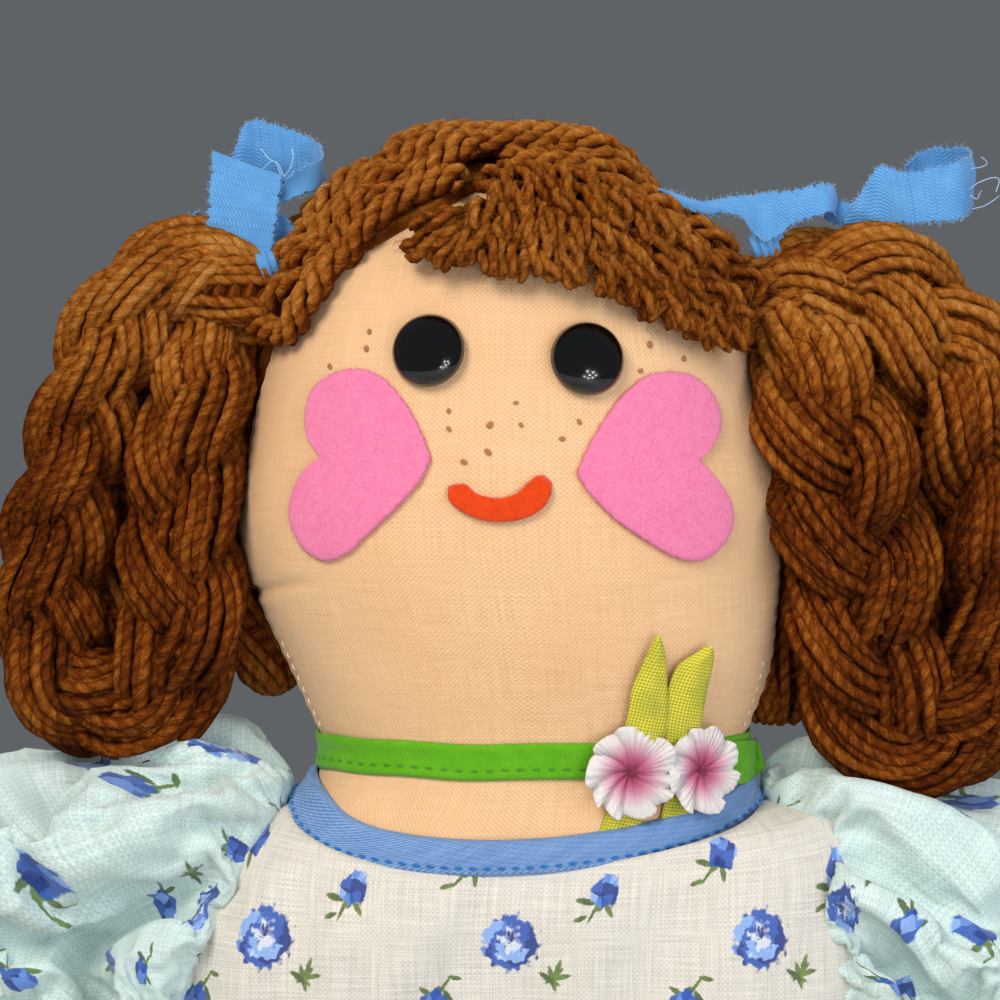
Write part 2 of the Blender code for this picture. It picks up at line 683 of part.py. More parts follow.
def build_eye(name, head, across, height, black):
    """Domed shank button seated on the face."""
    spot = head.front(np.array([across]), np.array([height]))[0]
    seat = head.front(np.array([across]), np.array([height]), SEWN_GAP)[0]
    radius = EYE_DIAMETER / 2
    profile = [(0.0, 0.0), (radius * 0.55, 0.0), (radius * 0.93, EYE_RIM * 0.4), (radius, EYE_RIM)]
    for turn in np.radians([20.0, 40.0, 58.0, 74.0]):
        profile.append((radius * math.cos(turn), EYE_RIM + (EYE_DOME - EYE_RIM) * math.sin(turn)))
    profile.append((0.0, EYE_DOME))
    return turned(name, profile, seat, seat - spot, black)


def closed_outline(points, count, corners):
    """A smooth closed outline through the points, with sharp corners at those listed."""
    total = len(points)
    runs = []
    marks = sorted(corners)
    for start, end in zip(marks, marks[1:] + [marks[0] + total]):
        run = [points[i % total] for i in range(start, end + 1)]
        runs.append(curve_through(run, max(4, round(count * (end - start) / total)) + 1)[:-1])
    return np.vstack(runs)


def cheek_ring(head, side, ring, lift):
    """Points of a cheek's outline, in its shares, laid on the face."""
    tip = LEFT_CHEEK_TIP_ACROSS if side > 0 else RIGHT_CHEEK_TIP_ACROSS
    length = LEFT_CHEEK_LENGTH if side > 0 else RIGHT_CHEEK_LENGTH
    x = side * (tip + ring[:, 0] * length)
    z = head.base + CHEEK_HEIGHT + ring[:, 1] * CHEEK_WIDTH / 2
    return head.front(x, z, lift)


def build_cheek(name, head, side, felt):
    """Felt heart lying on its side with its point inwards, following the face."""
    outline = closed_outline(CHEEK_SHARES, 30, (0, 8))
    middle = np.array([0.5, 0.0])
    rows = []
    for share in (0.0, 0.5, 1.0):
        ring = middle + (outline - middle) * share
        rows.append(ring if share else ring[:1])
    outer = [cheek_ring(head, side, ring, on_form() + FELT_THICKNESS) for ring in rows]
    inner = [cheek_ring(head, side, ring, on_form()) for ring in rows]
    return loft(name, outer + inner[::-1], felt)


def build_mouth(head, felt):
    """Felt crescent: a smile whose thickness swells to the middle."""
    along = np.linspace(-1.0, 1.0, 19)
    bend = MOUTH_DROP * along ** 2
    thick = MOUTH_THICK * (1.0 - 0.72 * np.abs(along) ** 3.2)
    across = np.linspace(-0.5, 0.5, 4)
    x = MOUTH_ACROSS + MOUTH_WIDTH / 2 * along[:, None] * (1.0 - 0.06 * across[None, :])
    z = head.base + MOUTH_HEIGHT + bend[:, None] + thick[:, None] * across[None, :]
    x = np.broadcast_to(x, z.shape)
    return slab("mouth", head.front(x, z, on_form() + FELT_THICKNESS), head.front(x, z, on_form()), felt)


def neck_surface(head, torso, x, z, lift):
    """Points in front of the neck, on the head above its seam and on the torso below."""
    upper = head.front(x, np.maximum(z, head.base), lift)
    lower = torso.front(x, np.minimum(z, torso.top), lift)
    return np.where((z >= head.base)[..., None], upper, lower)


def build_neck_band(head, torso, green):
    """Folded tape round the neck, over the seam between head and torso."""
    middle = head.base + BAND_RISE_HEIGHT
    angles = around_body(BODY_SIDES)
    heights = [middle - BAND_WIDTH / 2, middle, middle + BAND_WIDTH / 2]
    rows = {}
    low_lift, high_lift = on_form(), on_form() + BAND_THICKNESS
    for lift in (low_lift, high_lift):
        rows[lift] = []
        for z in heights:
            form = head if z > head.base else torso
            level = np.full(BODY_SIDES, z)
            rows[lift].append(form.around(angles, level, lift))
    return loft("neck_band", rows[high_lift] + rows[low_lift][::-1], green, ring=True)


def build_leaf(name, head, torso, index, ribbon):
    """Ribbon leaf standing in front of the neck band: a folded point above and a plain strip below."""
    band_middle = head.base + BAND_RISE_HEIGHT
    top = head.base + LEAF_TOP_HEIGHT + (0.0 if index == 0 else -LEAF_WIDTH / 4)
    foot_x = LEAF_FOOT_ACROSS[index]
    (half_width, _, lean), _ = torso.section(NECKLINE_SIDE_HEIGHT)
    angle = -math.acos(((foot_x - lean) / half_width) ** (BODY_POWER_SHARE / 2))
    foot = float(neckline_height(np.array([angle]))[0]) + BINDING_WIDTH / 2 + LEAF_WIDTH / 4
    lift = on_form(BAND_THICKNESS)
    along = np.concatenate([np.linspace(0.0, 0.78, 9), [0.86, 0.93, 0.97]])
    width = LEAF_WIDTH * np.where(along < 0.8, 0.94, 0.94 * (1.0 - along) / 0.2)
    middle = foot_x + (LEAF_TOP_ACROSS[index] - foot_x) * along
    across = np.linspace(-0.5, 0.5, 3)
    x = middle[:, None] + width[:, None] * across[None, :]
    z = np.broadcast_to((foot + (top - foot) * along)[:, None], x.shape)
    neck_front = torso.front(x, np.full(x.shape, band_middle), lift)[..., 1]
    outer = neck_surface(head, torso, x, z, lift + RIBBON_THICKNESS)
    inner = neck_surface(head, torso, x, z, lift)
    for sheet, extra in ((outer, RIBBON_THICKNESS), (inner, 0.0)):
        sheet[..., 1] = np.minimum(sheet[..., 1], neck_front - extra)
    return slab(name, outer, inner, ribbon)


def build_flower(name, head, torso, index, ribbon):
    """Gathered ribbon rosette: a shallow cup of pleats round its middle."""
    x, z = FLOWER_ACROSS[index], head.base + BAND_RISE_HEIGHT
    lift = on_form(BAND_THICKNESS, RIBBON_THICKNESS) + RIBBON_THICKNESS
    spot = neck_surface(head, torso, np.array([x]), np.array([z]), lift)[0]
    far = neck_surface(head, torso, np.array([x]), np.array([z]), 2 * lift)[0]
    step = NECK_WIDTH / TABLE_SAMPLES
    aside = neck_surface(head, torso, np.array([x + step]), np.array([z]), lift)[0]
    sideways = (aside - spot) / np.linalg.norm(aside - spot)
    upwards = np.array([0.0, 0.0, 1.0])
    normal = np.cross(sideways, upwards)
    normal *= np.sign(np.dot(normal, far - spot))
    angles = np.linspace(0.0, 2 * math.pi, PLEAT_SIDES * FLOWER_PLEATS, endpoint=False)
    pleat = np.cos(FLOWER_PLEATS * angles)
    shares = (0.2, 0.6, 1.0)
    sheets = []
    for base in (FLOWER_THICKNESS, 0.0):
        rings = [(spot + normal * (base + FLOWER_CUP * 0.1))[None, :]]
        for share in shares:
            radius = FLOWER_RADIUS[index] * share * (1.0 + 0.05 * pleat * share)
            height = base + FLOWER_CUP * share ** 1.5 + FLOWER_THICKNESS * 0.35 * pleat * share
            rings.append(
                spot
                + (radius * np.cos(angles))[:, None] * sideways
                + (radius * np.sin(angles))[:, None] * upwards
                + height[:, None] * normal
            )
        sheets.append(rings)
    return loft(name, sheets[0] + sheets[1][::-1], ribbon, smooth_angle=60.0)


def armhole_cutter(form, side):
    """Oval bar through the bodice's side, centred on the shoulder."""
    label = "left" if side > 0 else "right"
    start = side * form.section(SHOULDER_HEIGHT)[0][0] / 2
    end = side * (SHOULDER_WIDTH / 2 + CUT_OVERRUN)
    return cylinder_along_x(
        label + "_armhole_cut", start, end, (0.0, SHOULDER_HEIGHT), ARMHOLE_DEPTH / 2, ARMHOLE_HEIGHT / 2
    )


def build_bodice(form, cloth):
    """Bodice from the waist to the neckline, with an oval armhole in each side."""
    angles = around_body(BODY_SIDES)
    low = np.full(BODY_SIDES, WAIST_HEIGHT)
    high = neckline_height(angles) - BINDING_WIDTH / 2 - SEWN_GAP
    bodice = wrapped_shell("bodice", form, low, high, on_form(), CLOTH_THICKNESS, 13, cloth)
    for side in (1.0, -1.0):
        cut(bodice, armhole_cutter(form, side))
    return bodice


def build_neck_binding(form, twill):
    """Folded binding over the neckline's edge."""
    angles = around_body(BODY_SIDES)
    middle = neckline_height(angles)
    low, high = middle - BINDING_WIDTH / 2, middle + BINDING_WIDTH / 2
    return wrapped_shell("neck_binding", form, low, high, on_form(), BINDING_THICKNESS, 3, twill)


def side_of_body(form, y, z, lift):
    """Points on the left side of a form, at given depths and heights."""
    (half_width, half_depth, lean), _ = form.section(z)
    along = np.clip(np.abs(y / half_depth), 0.0, 0.98)
    x = lean + half_width * (1.0 - along ** BODY_POWER_SHARE) ** (1.0 / BODY_POWER_SHARE)
    return form.lifted(np.stack([x, y, z], axis=-1), np.broadcast_to(lift, x.shape))


def cuff_share():
    """Where the sleeve's elastic lies along the arm."""
    return SLEEVE_LENGTH / ARM_LENGTH


def sleeve_rows(form, side):
    """Rings of the sleeve's outer face, from the armhole over the puff to the frill below the elastic."""
    angles = np.linspace(0.0, 2 * math.pi, SLEEVE_SIDES, endpoint=False)
    y = (ARMHOLE_DEPTH / 2 + CLOTH_THICKNESS) * np.sin(angles)
    z = SHOULDER_HEIGHT + (ARMHOLE_HEIGHT / 2 + CLOTH_THICKNESS) * np.cos(angles)
    root = side_of_body(form, y, z, on_form(CLOTH_THICKNESS))
    lean = form.section(z)[0][2]
    root[:, 0] += (side - 1.0) * lean
    rise_here = LEFT_SLEEVE_RISE if side > 0 else RIGHT_SLEEVE_RISE
    count = 10
    path = arm_path(form, 200, SLEEVE_LENGTH + CUFF_FRILL)
    tangents = directions(path)
    cuff_at = SLEEVE_LENGTH / (SLEEVE_LENGTH + CUFF_FRILL)
    stops = np.concatenate([np.linspace(0.16, cuff_at - 0.10, count - 4), [cuff_at - 0.04, cuff_at, 1.0]])
    elastic = ARM_RADIUS * float(table_value(ARM_SHARES, cuff_share())) + 3 * SEWN_GAP + FACET_ROOM
    cuff = elastic + ELASTIC_THICKNESS + CLOTH_THICKNESS
    rows = [root]
    centres = [np.array([root[:, 0].mean(), 0.0, SHOULDER_HEIGHT])]
    for stop in stops:
        i = round(stop * (len(path) - 1))
        (x, z), (tangent_x, tangent_z) = path[i], tangents[i]
        share = min(stop / cuff_at, 1.0)
        swell = math.sin(math.pi * min(1.0, share) ** 0.75) ** 0.8 if share < 1.0 else 0.0
        hole = (ARMHOLE_HEIGHT / 2) * (1 - share) + cuff * share
        upper = hole + (SLEEVE_PUFF + rise_here) * swell
        inward = hole + SLEEVE_PUFF * swell * 0.15
        depth = hole * (1 - 0.12 * (1 - share)) + SLEEVE_PUFF * swell
        if stop > cuff_at:
            upper = inward = depth = cuff + CUFF_FRILL * 0.5
        rise = np.where(np.cos(angles) > 0, upper, inward)
        fold = 1.0 + SLEEVE_FOLD_SHARE * (1.0 + np.sin(SLEEVE_FOLDS * angles)) * (1.0 if share < 1.0 else 0.5)
        out = rise * np.cos(angles) * fold
        ring = np.stack([x - tangent_z * out, depth * np.sin(angles) * fold, z + tangent_x * out], axis=1)
        wall = root[:, 0].max() + CLOTH_THICKNESS + SEWN_GAP
        ring[:, 0] = np.maximum(ring[:, 0], wall + (ring[:, 0] - wall) * 0.1)
        rows.append(ring)
        centres.append(np.array([x, 0.0, z]))
    return rows, centres


def build_sleeve(name, form, side, cloth):
    """Puffed sleeve: gathered folds from the armhole to the elastic, as a thin shell."""
    rows, centres = sleeve_rows(form, side)
    angles = np.linspace(0.0, 2 * math.pi, SLEEVE_SIDES, endpoint=False)
    y = ARMHOLE_DEPTH / 2 * np.sin(angles)
    z = SHOULDER_HEIGHT + ARMHOLE_HEIGHT / 2 * np.cos(angles)
    inner = [side_of_body(form, y, z, on_form(CLOTH_THICKNESS))]
    inner[0][:, 0] += (side - 1.0) * form.section(z)[0][2]
    for row, centre in zip(rows[1:], centres[1:]):
        spokes = row - centre
        reach = np.linalg.norm(spokes, axis=1, keepdims=True)
        inner.append(row - spokes / reach * CLOTH_THICKNESS)
    return loft(name, sided(rows + inner[::-1], side), cloth, ring=True, smooth_angle=60.0)


def build_elastic(name, form, side, rubber):
    """Elastic round the arm inside the sleeve's hem."""
    share = cuff_share()
    half = ELASTIC_WIDTH / 2 / ARM_LENGTH
    path_count = 400
    path = arm_path(form, path_count)
    inside = ARM_RADIUS * float(table_value(ARM_SHARES, share)) + 2 * SEWN_GAP
    outside = inside + ELASTIC_THICKNESS
    ends = np.array([share - half, share + half, share + half, share - half])
    index = np.round(ends * (path_count - 1)).astype(int)
    radii = (outside, outside, inside, inside)
    rows = tube_rows(path[index], directions(path)[index], radii, LIMB_SIDES)
    return loft(name, sided(rows, side), rubber, ring=True)


def soft_step(value):
    """0 below 0, 1 above 1, and a smooth rise between."""
    value = np.clip(value, 0.0, 1.0)
    return value * value * (3.0 - 2.0 * value)


def lap_height(x, y):
    """Height of cloth lying over both legs: level across the lap, falling off outside it."""
    distance = np.clip((-HIP_FORWARD - y) / math.cos(LEG_SPLAY_ANGLE), 0.0, LEG_LENGTH)
    centre, _ = leg_line(distance)
    radius = leg_radius(distance)
    top = 2 * radius - FLOOR_CUT + LAP_CLEARANCE
    outside = soft_step((np.abs(x) - centre - radius * 0.75) / (radius * 0.9))
    dip = 0.16 * radius * (1.0 - soft_step(np.abs(x) / (HIP_SPACING / 2)))
    in_front = soft_step((-y - HIP_FORWARD + LEG_RADIUS * 1.6) / LEG_RADIUS)
    return (top - dip) * (1.0 - outside) * in_front


def build_skirt(form, cloth):
    """Gathered skirt: falls to the floor behind and beside the doll, and lies over its lap in front."""
    sides = SKIRT_FOLDS * SKIRT_SIDES_PER_FOLD
    angles = around_body(sides)
    count = 9
    start = form.around(angles, np.full(sides, WAIST_HEIGHT - SEWN_GAP), on_form() + CLOTH_THICKNESS)
    front = np.clip(-np.sin(angles), 0.0, 1.0) ** 1.3
    back = np.clip(np.sin(angles), 0.0, 1.0) ** 1.3
    reach = SKIRT_SIDE_REACH + (SKIRT_FRONT_REACH - SKIRT_SIDE_REACH) * front
    reach += (SKIRT_BACK_REACH - SKIRT_SIDE_REACH) * back
    outwards = np.stack([np.cos(angles), np.sin(angles)], axis=1)
    grid = []
    for share in np.linspace(0.0, 1.0, count):
        spread = math.sin(share * math.pi / 2) ** 0.9
        fold = SKIRT_FOLD * np.cos(SKIRT_FOLDS * angles) * min(1.0, share * 1.6)
        plan = start[:, :2] + outwards * (reach * spread + fold)[:, None]
        fall = (WAIST_HEIGHT - SEWN_GAP - SKIRT_HEM_HEIGHT) * (1.0 - math.cos(share * math.pi / 2) ** 1.25)
        z = WAIST_HEIGHT - SEWN_GAP - fall
        lap = lap_height(plan[:, 0], plan[:, 1])
        soft = LAP_CLEARANCE * 2
        height = soft * np.logaddexp(z / soft, lap / soft)
        height = np.where(lap > 0.0, height, z) if share > 0 else np.full(sides, z)
        grid.append(np.column_stack([plan, np.minimum(height, WAIST_HEIGHT - SEWN_GAP)]))
    grid = np.array(grid)
    down = np.gradient(grid, axis=0)
    wrapped = np.concatenate([grid[:, -1:], grid, grid[:, :1]], axis=1)
    along = (wrapped[:, 2:] - wrapped[:, :-2]) / 2
    normal = np.cross(along, down)
    normal /= np.linalg.norm(normal, axis=2, keepdims=True)
    facing = np.sum(normal[..., :2] * outwards, axis=2, keepdims=True) + normal[..., 2:]
    inner = grid - np.where(facing >= 0, normal, -normal) * CLOTH_THICKNESS
    inner[0] = form.around(angles, np.full(sides, WAIST_HEIGHT - SEWN_GAP), on_form())
    inner[..., 2] = np.maximum(inner[..., 2], SKIRT_HEM_HEIGHT / 2)
    rows = list(grid) + list(inner[::-1])
    return loft("skirt", rows, cloth, ring=True, smooth_angle=60.0)


def build_back_buttons(form, pearl):
    """Small buttons down the back of the bodice."""
    top = NECKLINE_BACK_HEIGHT - BINDING_WIDTH / 2 - BACK_BUTTON_RADIUS * 1.6
    lift = on_form(CLOTH_THICKNESS)
    radius, thick = BACK_BUTTON_RADIUS, BACK_BUTTON_THICKNESS
    profile = [
        (0.0, 0.0), (radius * 0.8, 0.0), (radius, thick * 0.4), (radius * 0.92, thick),
        (radius * 0.70, thick * 0.72), (0.0, thick * 0.72),
    ]
    for i in range(BACK_BUTTONS):
        z = np.array([top - i * BACK_BUTTON_SPACING])
        seat = form.front(np.zeros(1), z, lift, side=1.0)[0]
        spot = form.front(np.zeros(1), z, 0.0, side=1.0)[0]
        turned(f"back_button_{i + 1}", profile, seat, seat - spot, pearl, sides=BUTTON_SIDES)


def hairline(head, angles, table):
    """Height of a hair edge round the head."""
    return head.base + (head.top - head.base) * table_value(table, from_front(angles))


def hair_lift(head, z, edge):
    """Thickness of the hair: thin at its edge and full over the crown."""
    share = np.clip((z - edge) / (head.top - edge), 0.0, 1.0)
    return HAIR_EDGE_THICKNESS + (HAIR_THICKNESS - HAIR_EDGE_THICKNESS) * np.sqrt(share)


def build_hair_cap(head, yarn):
    """Hair laid over the crown, sides and back of the head, down to the hairline."""
    sides = BODY_SIDES
    angles = around_body(sides)
    edge = hairline(head, angles, HAIRLINE_SHARES)
    count = 12
    grids = {"outer": [], "inner": []}
    heights = np.array([head.row_heights(count, low=low) for low in edge]).T
    for z in heights[:-1]:
        grids["inner"].append(head.around(angles, z, on_form() + SEWN_GAP))
        grids["outer"].append(head.around(angles, z, on_form() + hair_lift(head, z, edge)))
    pole = np.array([[0.0, 0.0, head.top]])
    inner = grids["inner"] + [pole + np.array([0.0, 0.0, on_form()])]
    outer = grids["outer"] + [pole + np.array([0.0, 0.0, on_form() + HAIR_THICKNESS])]
    return loft("hair_cap", inner[::-1] + outer, yarn)


def build_fringe(head, yarn):
    """Short tufts on the forehead, below the hair cap's front edge."""
    first, last = FRINGE_SHARES[0][0], FRINGE_SHARES[-1][0]
    angles = np.radians(np.linspace(first, last, 17) - 90.0)
    low = hairline(head, angles, FRINGE_SHARES)
    high = hairline(head, angles, HAIRLINE_SHARES) - HAIR_EDGE_THICKNESS / 2
    steps = np.linspace(0.0, 1.0, 6)
    z = low[None, :] + (high - low)[None, :] * steps[:, None]
    turn = np.broadcast_to(angles, z.shape)
    swell = np.sin(np.pi * np.clip(steps * 0.62 + 0.18, 0.0, 1.0))[:, None] * np.ones_like(z)
    outer = head.around(turn, z, on_form() + FRINGE_THICKNESS * swell)
    inner = head.around(turn, z, on_form())
    return slab("fringe", outer, inner, yarn)


def tie_place(head, side):
    """Where a pigtail's gather starts: just clear of the hair on the side of the head."""
    z = head.base + PIGTAIL_AXIS_HEIGHT - GATHER_RADIUS
    angle = np.array([0.0 if side > 0 else math.pi])
    edge = hairline(head, angle, HAIRLINE_SHARES)
    lift = on_form(hair_lift(head, np.array([z]), edge))
    return abs(float(head.around(angle, np.array([z]), lift)[0, 0]))


def build_pigtail(name, head, side, shares, yarn):
    """Looped plait: out of its round gather on the joint's axis, down, round and up again."""
    start = tie_place(head, side)
    axis = head.base + PIGTAIL_AXIS_HEIGHT
    points = [
        (start + out * PIGTAIL_WIDTH, axis - down * PIGTAIL_DROP, radius * STRAND_RADIUS)
        for out, down, radius in shares
    ]
    route = curve_through(points, 34)
    near = np.arange(len(route)) < len(route) // 2
    route = route[~(near & (route[:, 0] < start + GATHER_LENGTH + STRAND_RADIUS / 4))]
    gather = [(start, axis, GATHER_RADIUS), (start + GATHER_LENGTH, axis, GATHER_RADIUS)]
    route = np.vstack([gather, route])
    path, radii = route[:, :2], route[:, 2]
    rows = tube_rows(path, directions(path), radii, STRAND_SIDES, centre_y=-PIGTAIL_FORWARD)
    print(name, "least gap to itself", round(own_gap(path, radii), 5))
    return loft(name, sided(rows, side), yarn)


def own_gap(path, radii):
    """Least clear distance between stretches of a tube that are far apart along it."""
    away = np.linalg.norm(path[:, None] - path[None], axis=2) - radii[:, None] - radii[None]
    steps = np.linalg.norm(np.diff(path, axis=0), axis=1)
    travelled = np.concatenate([[0.0], np.cumsum(steps)])
    apart = np.abs(travelled[:, None] - travelled[None]) > PIGTAIL_DROP / 2
    return float(away[apart].min())


def strip(name, route, width_towards, cloth):
    """Torn strip of cloth along a route, its width lying along a given direction at each point."""
    route = curve_through(route, 9)
    wide = np.array(width_towards, float)
    wide = np.array([wide[0] + (wide[1] - wide[0]) * share for share in np.linspace(0.0, 1.0, len(route))])
    wide /= np.linalg.norm(wide, axis=1, keepdims=True)
    normal = np.cross(directions(route), wide)
    normal /= np.linalg.norm(normal, axis=1, keepdims=True)
    across = np.linspace(-0.5, 0.5, 3) * STRIP_WIDTH
    outer = route[:, None] + wide[:, None] * across[None, :, None] + normal[:, None] * STRIP_THICKNESS / 2
    inner = outer - normal[:, None] * STRIP_THICKNESS
    return slab(name, outer, inner, cloth)


def build_bow(name, head, side, cloth):
    """Torn strip tied round a gather: a ring, a knot on top, a loop and two tails."""
    start = tie_place(head, side) + SEWN_GAP
    axis = np.array([0.0, -PIGTAIL_FORWARD, head.base + PIGTAIL_AXIS_HEIGHT])
    inside = GATHER_RADIUS + SEWN_GAP
    sides = LIMB_SIDES
    angles = np.linspace(0.0, 2 * math.pi, sides, endpoint=False)
    rows = []
    for x, radius in (
        (start, inside + TIE_THICKNESS), (start + TIE_WIDTH, inside + TIE_THICKNESS),
        (start + TIE_WIDTH, inside), (start, inside),
    ):
        rows.append(np.stack([
            np.full(sides, x), axis[1] + radius * np.cos(angles), axis[2] + radius * np.sin(angles)
        ], axis=1))
    ring = loft(name, sided(rows, side), cloth, ring=True)
    knot_at = np.array([
        side * (start + TIE_WIDTH / 2), axis[1], axis[2] + inside + TIE_THICKNESS + KNOT_RADIUS * 0.55
    ])
    profile = [(0.0, -KNOT_RADIUS * 0.75)]
    for turn in np.radians([-55.0, -20.0, 20.0, 55.0]):
        profile.append((KNOT_RADIUS * math.cos(turn), KNOT_RADIUS * 0.75 * math.sin(turn)))
    profile.append((0.0, KNOT_RADIUS * 0.75))
    knot = turned(name + "_knot", profile, knot_at, (0.0, 0.0, 1.0), cloth, sides=14)
    shape = RIGHT_BOW_SHARES if side < 0 else LEFT_BOW_SHARES
    pieces = [ring, knot]
    for i, (route, wide) in enumerate(shape):
        points = [knot_at + np.array(point) * STRIP_WIDTH for point in route]
        pieces.append(strip(f"{name}_strip_{i + 1}", points, wide, cloth))
    return fuse(name, pieces, cloth)


def main():
    """Clears the scene and builds every piece of the doll."""
    for old in list(bpy.data.objects):
        bpy.data.objects.remove(old)
    muslin = finish("muslin", "f0cda0", 0.9)
    black = finish("black button", "0a0a0c", 0.12)
    pink = finish("pink felt", "f47fbb", 0.95)
    red = finish("red felt", "ee4a10", 0.95)
    green = finish("green tape", "62b61c", 0.8)
    leaf = finish("leaf ribbon", "c4bf33", 0.55)
    petal = finish("flower ribbon", "f3b9cf", 0.5)
    voile = finish("printed voile", "dbe4de", 0.85)
    twill = finish("blue twill", "6b95cf", 0.85)
    yarn = finish("yarn", "8a4a18", 0.9)
    cotton = finish("blue cotton", "6aaee8", 0.85)
    elastic = finish("elastic", "f2f0ea", 0.8)
    pearl = finish("pearl button", "eee9df", 0.35)

    torso = StuffedForm(0.0, TORSO_HEIGHT, SHOULDER_WIDTH, TORSO_DEPTH, NECK_LEAN, TORSO_SHARES)
    head = StuffedForm(TORSO_HEIGHT + SEWN_GAP, HEAD_HEIGHT, HEAD_WIDTH, HEAD_DEPTH, NECK_LEAN, HEAD_SHARES)
    stuffed_body("head", head, 20, muslin)
    build_torso(torso, muslin)
    for side, label in ((1.0, "left"), (-1.0, "right")):
        arm = build_arm(label + "_arm", torso, side, muslin)
        sleeve = build_sleeve(label + "_sleeve", torso, side, voile)
        gather = build_elastic(label + "_sleeve_elastic", torso, side, elastic)
        hang(arm, (side * shoulder_seat(torso), 0.0, SHOULDER_HEIGHT), (sleeve, gather))
        leg = build_leg(label + "_leg", side, muslin)
        hang(leg, (side * HIP_SPACING / 2, -HIP_FORWARD, leg_centre_height()))
        shares = LEFT_PIGTAIL_SHARES if side > 0 else RIGHT_PIGTAIL_SHARES
        pigtail = build_pigtail(label + "_pigtail", head, side, shares, yarn)
        hang(pigtail, (side * tie_place(head, side), -PIGTAIL_FORWARD, head.base + PIGTAIL_AXIS_HEIGHT))
        build_cheek(label + "_cheek", head, side, pink)
        build_bow(label + "_bow", head, side, cotton)
    build_eye("left_eye", head, LEFT_EYE_ACROSS, head.base + EYE_HEIGHT - EYE_TILT_HEIGHT, black)
    build_eye("right_eye", head, RIGHT_EYE_ACROSS, head.base + EYE_HEIGHT + EYE_TILT_HEIGHT, black)
    build_mouth(head, red)
    build_neck_band(head, torso, green)
    for index, label in enumerate(("right", "left")):
        build_leaf(label + "_leaf", head, torso, index, leaf)
        build_flower(label + "_flower", head, torso, index, petal)
    build_bodice(torso, voile)
    build_neck_binding(torso, twill)
    build_skirt(torso, voile)
    build_back_buttons(torso, pearl)
    build_hair_cap(head, yarn)
    build_fringe(head, yarn)


main()
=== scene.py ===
import math

import bmesh
import bpy
import numpy as np
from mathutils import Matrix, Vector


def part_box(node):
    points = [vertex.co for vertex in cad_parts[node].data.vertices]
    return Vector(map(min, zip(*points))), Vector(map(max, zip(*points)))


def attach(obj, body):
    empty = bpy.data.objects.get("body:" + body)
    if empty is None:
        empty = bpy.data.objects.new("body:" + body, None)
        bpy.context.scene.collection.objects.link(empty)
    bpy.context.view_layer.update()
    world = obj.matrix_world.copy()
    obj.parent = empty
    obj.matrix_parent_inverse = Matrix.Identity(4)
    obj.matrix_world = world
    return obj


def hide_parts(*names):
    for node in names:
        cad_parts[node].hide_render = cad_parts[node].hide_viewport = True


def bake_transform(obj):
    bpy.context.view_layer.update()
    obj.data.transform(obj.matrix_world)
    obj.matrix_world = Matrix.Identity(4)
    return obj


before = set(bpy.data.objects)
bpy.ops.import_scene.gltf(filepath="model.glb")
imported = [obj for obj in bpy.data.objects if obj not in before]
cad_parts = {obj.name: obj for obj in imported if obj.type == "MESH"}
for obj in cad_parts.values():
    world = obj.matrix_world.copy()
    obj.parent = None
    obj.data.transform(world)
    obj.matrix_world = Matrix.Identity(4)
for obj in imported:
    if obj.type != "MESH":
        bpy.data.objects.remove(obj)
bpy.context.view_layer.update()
chance = np.random.default_rng(11)
turn = 2 * math.pi


# ---- helpers: colours, nodes, meshes

def hexColour(code):  # sRGB hex to linear
    parts = [int(code[i:i + 2], 16) / 255 for i in (0, 2, 4)]
    return (*[c / 12.92 if c <= 0.04045 else ((c + 0.055) / 1.055) ** 2.4 for c in parts], 1.0)


def addNode(tree, kind, links=None, **settings):  # a node with its settings, and its sockets set or linked
    node = tree.nodes.new("ShaderNode" + kind)
    for key, value in settings.items():
        setattr(node, key, value)
    for socket, source in (links or {}).items():
        source = source.outputs[0] if isinstance(source, bpy.types.Node) else source
        if isinstance(source, bpy.types.NodeSocket):
            tree.links.new(source, node.inputs[socket])
        else:
            node.inputs[socket].default_value = source
    return node


def calc(tree, kind, *values):  # a maths node on values or sockets
    return addNode(tree, "Math", dict(enumerate(values)), operation=kind)


def vector(tree, kind, *values):
    return addNode(tree, "VectorMath", dict(enumerate(values)), operation=kind)


def noise(tree, place, scale, detail=2.0, roughness=0.5, distortion=0.0):
    look = {"Vector": place, "Scale": scale, "Detail": detail, "Roughness": roughness, "Distortion": distortion}
    return addNode(tree, "TexNoise", look).outputs[0]


def ranged(tree, value, low, high, toLow=0.0, toHigh=1.0):  # from one range of values to another
    return addNode(tree, "MapRange", dict(enumerate((value, low, high, toLow, toHigh))))


def mixed(tree, share, first, second):  # a mix of two colours, each a socket or a code
    colours = [hexColour(c) if isinstance(c, str) else c for c in (first, second)]
    return addNode(tree, "Mix", {0: share, 6: colours[0], 7: colours[1]}, data_type="RGBA").outputs[2]


def objectPlace(tree):
    return addNode(tree, "TexCoord").outputs["Object"]


def startMaterial(name, look):  # a Principled material with its constant values set on the sockets
    made = bpy.data.materials.new(name)
    made.use_nodes = True
    shader = made.node_tree.nodes["Principled BSDF"]
    for socket, value in look.items():
        shader.inputs[socket].default_value = hexColour(value) if isinstance(value, str) else value
    return made, made.node_tree, shader


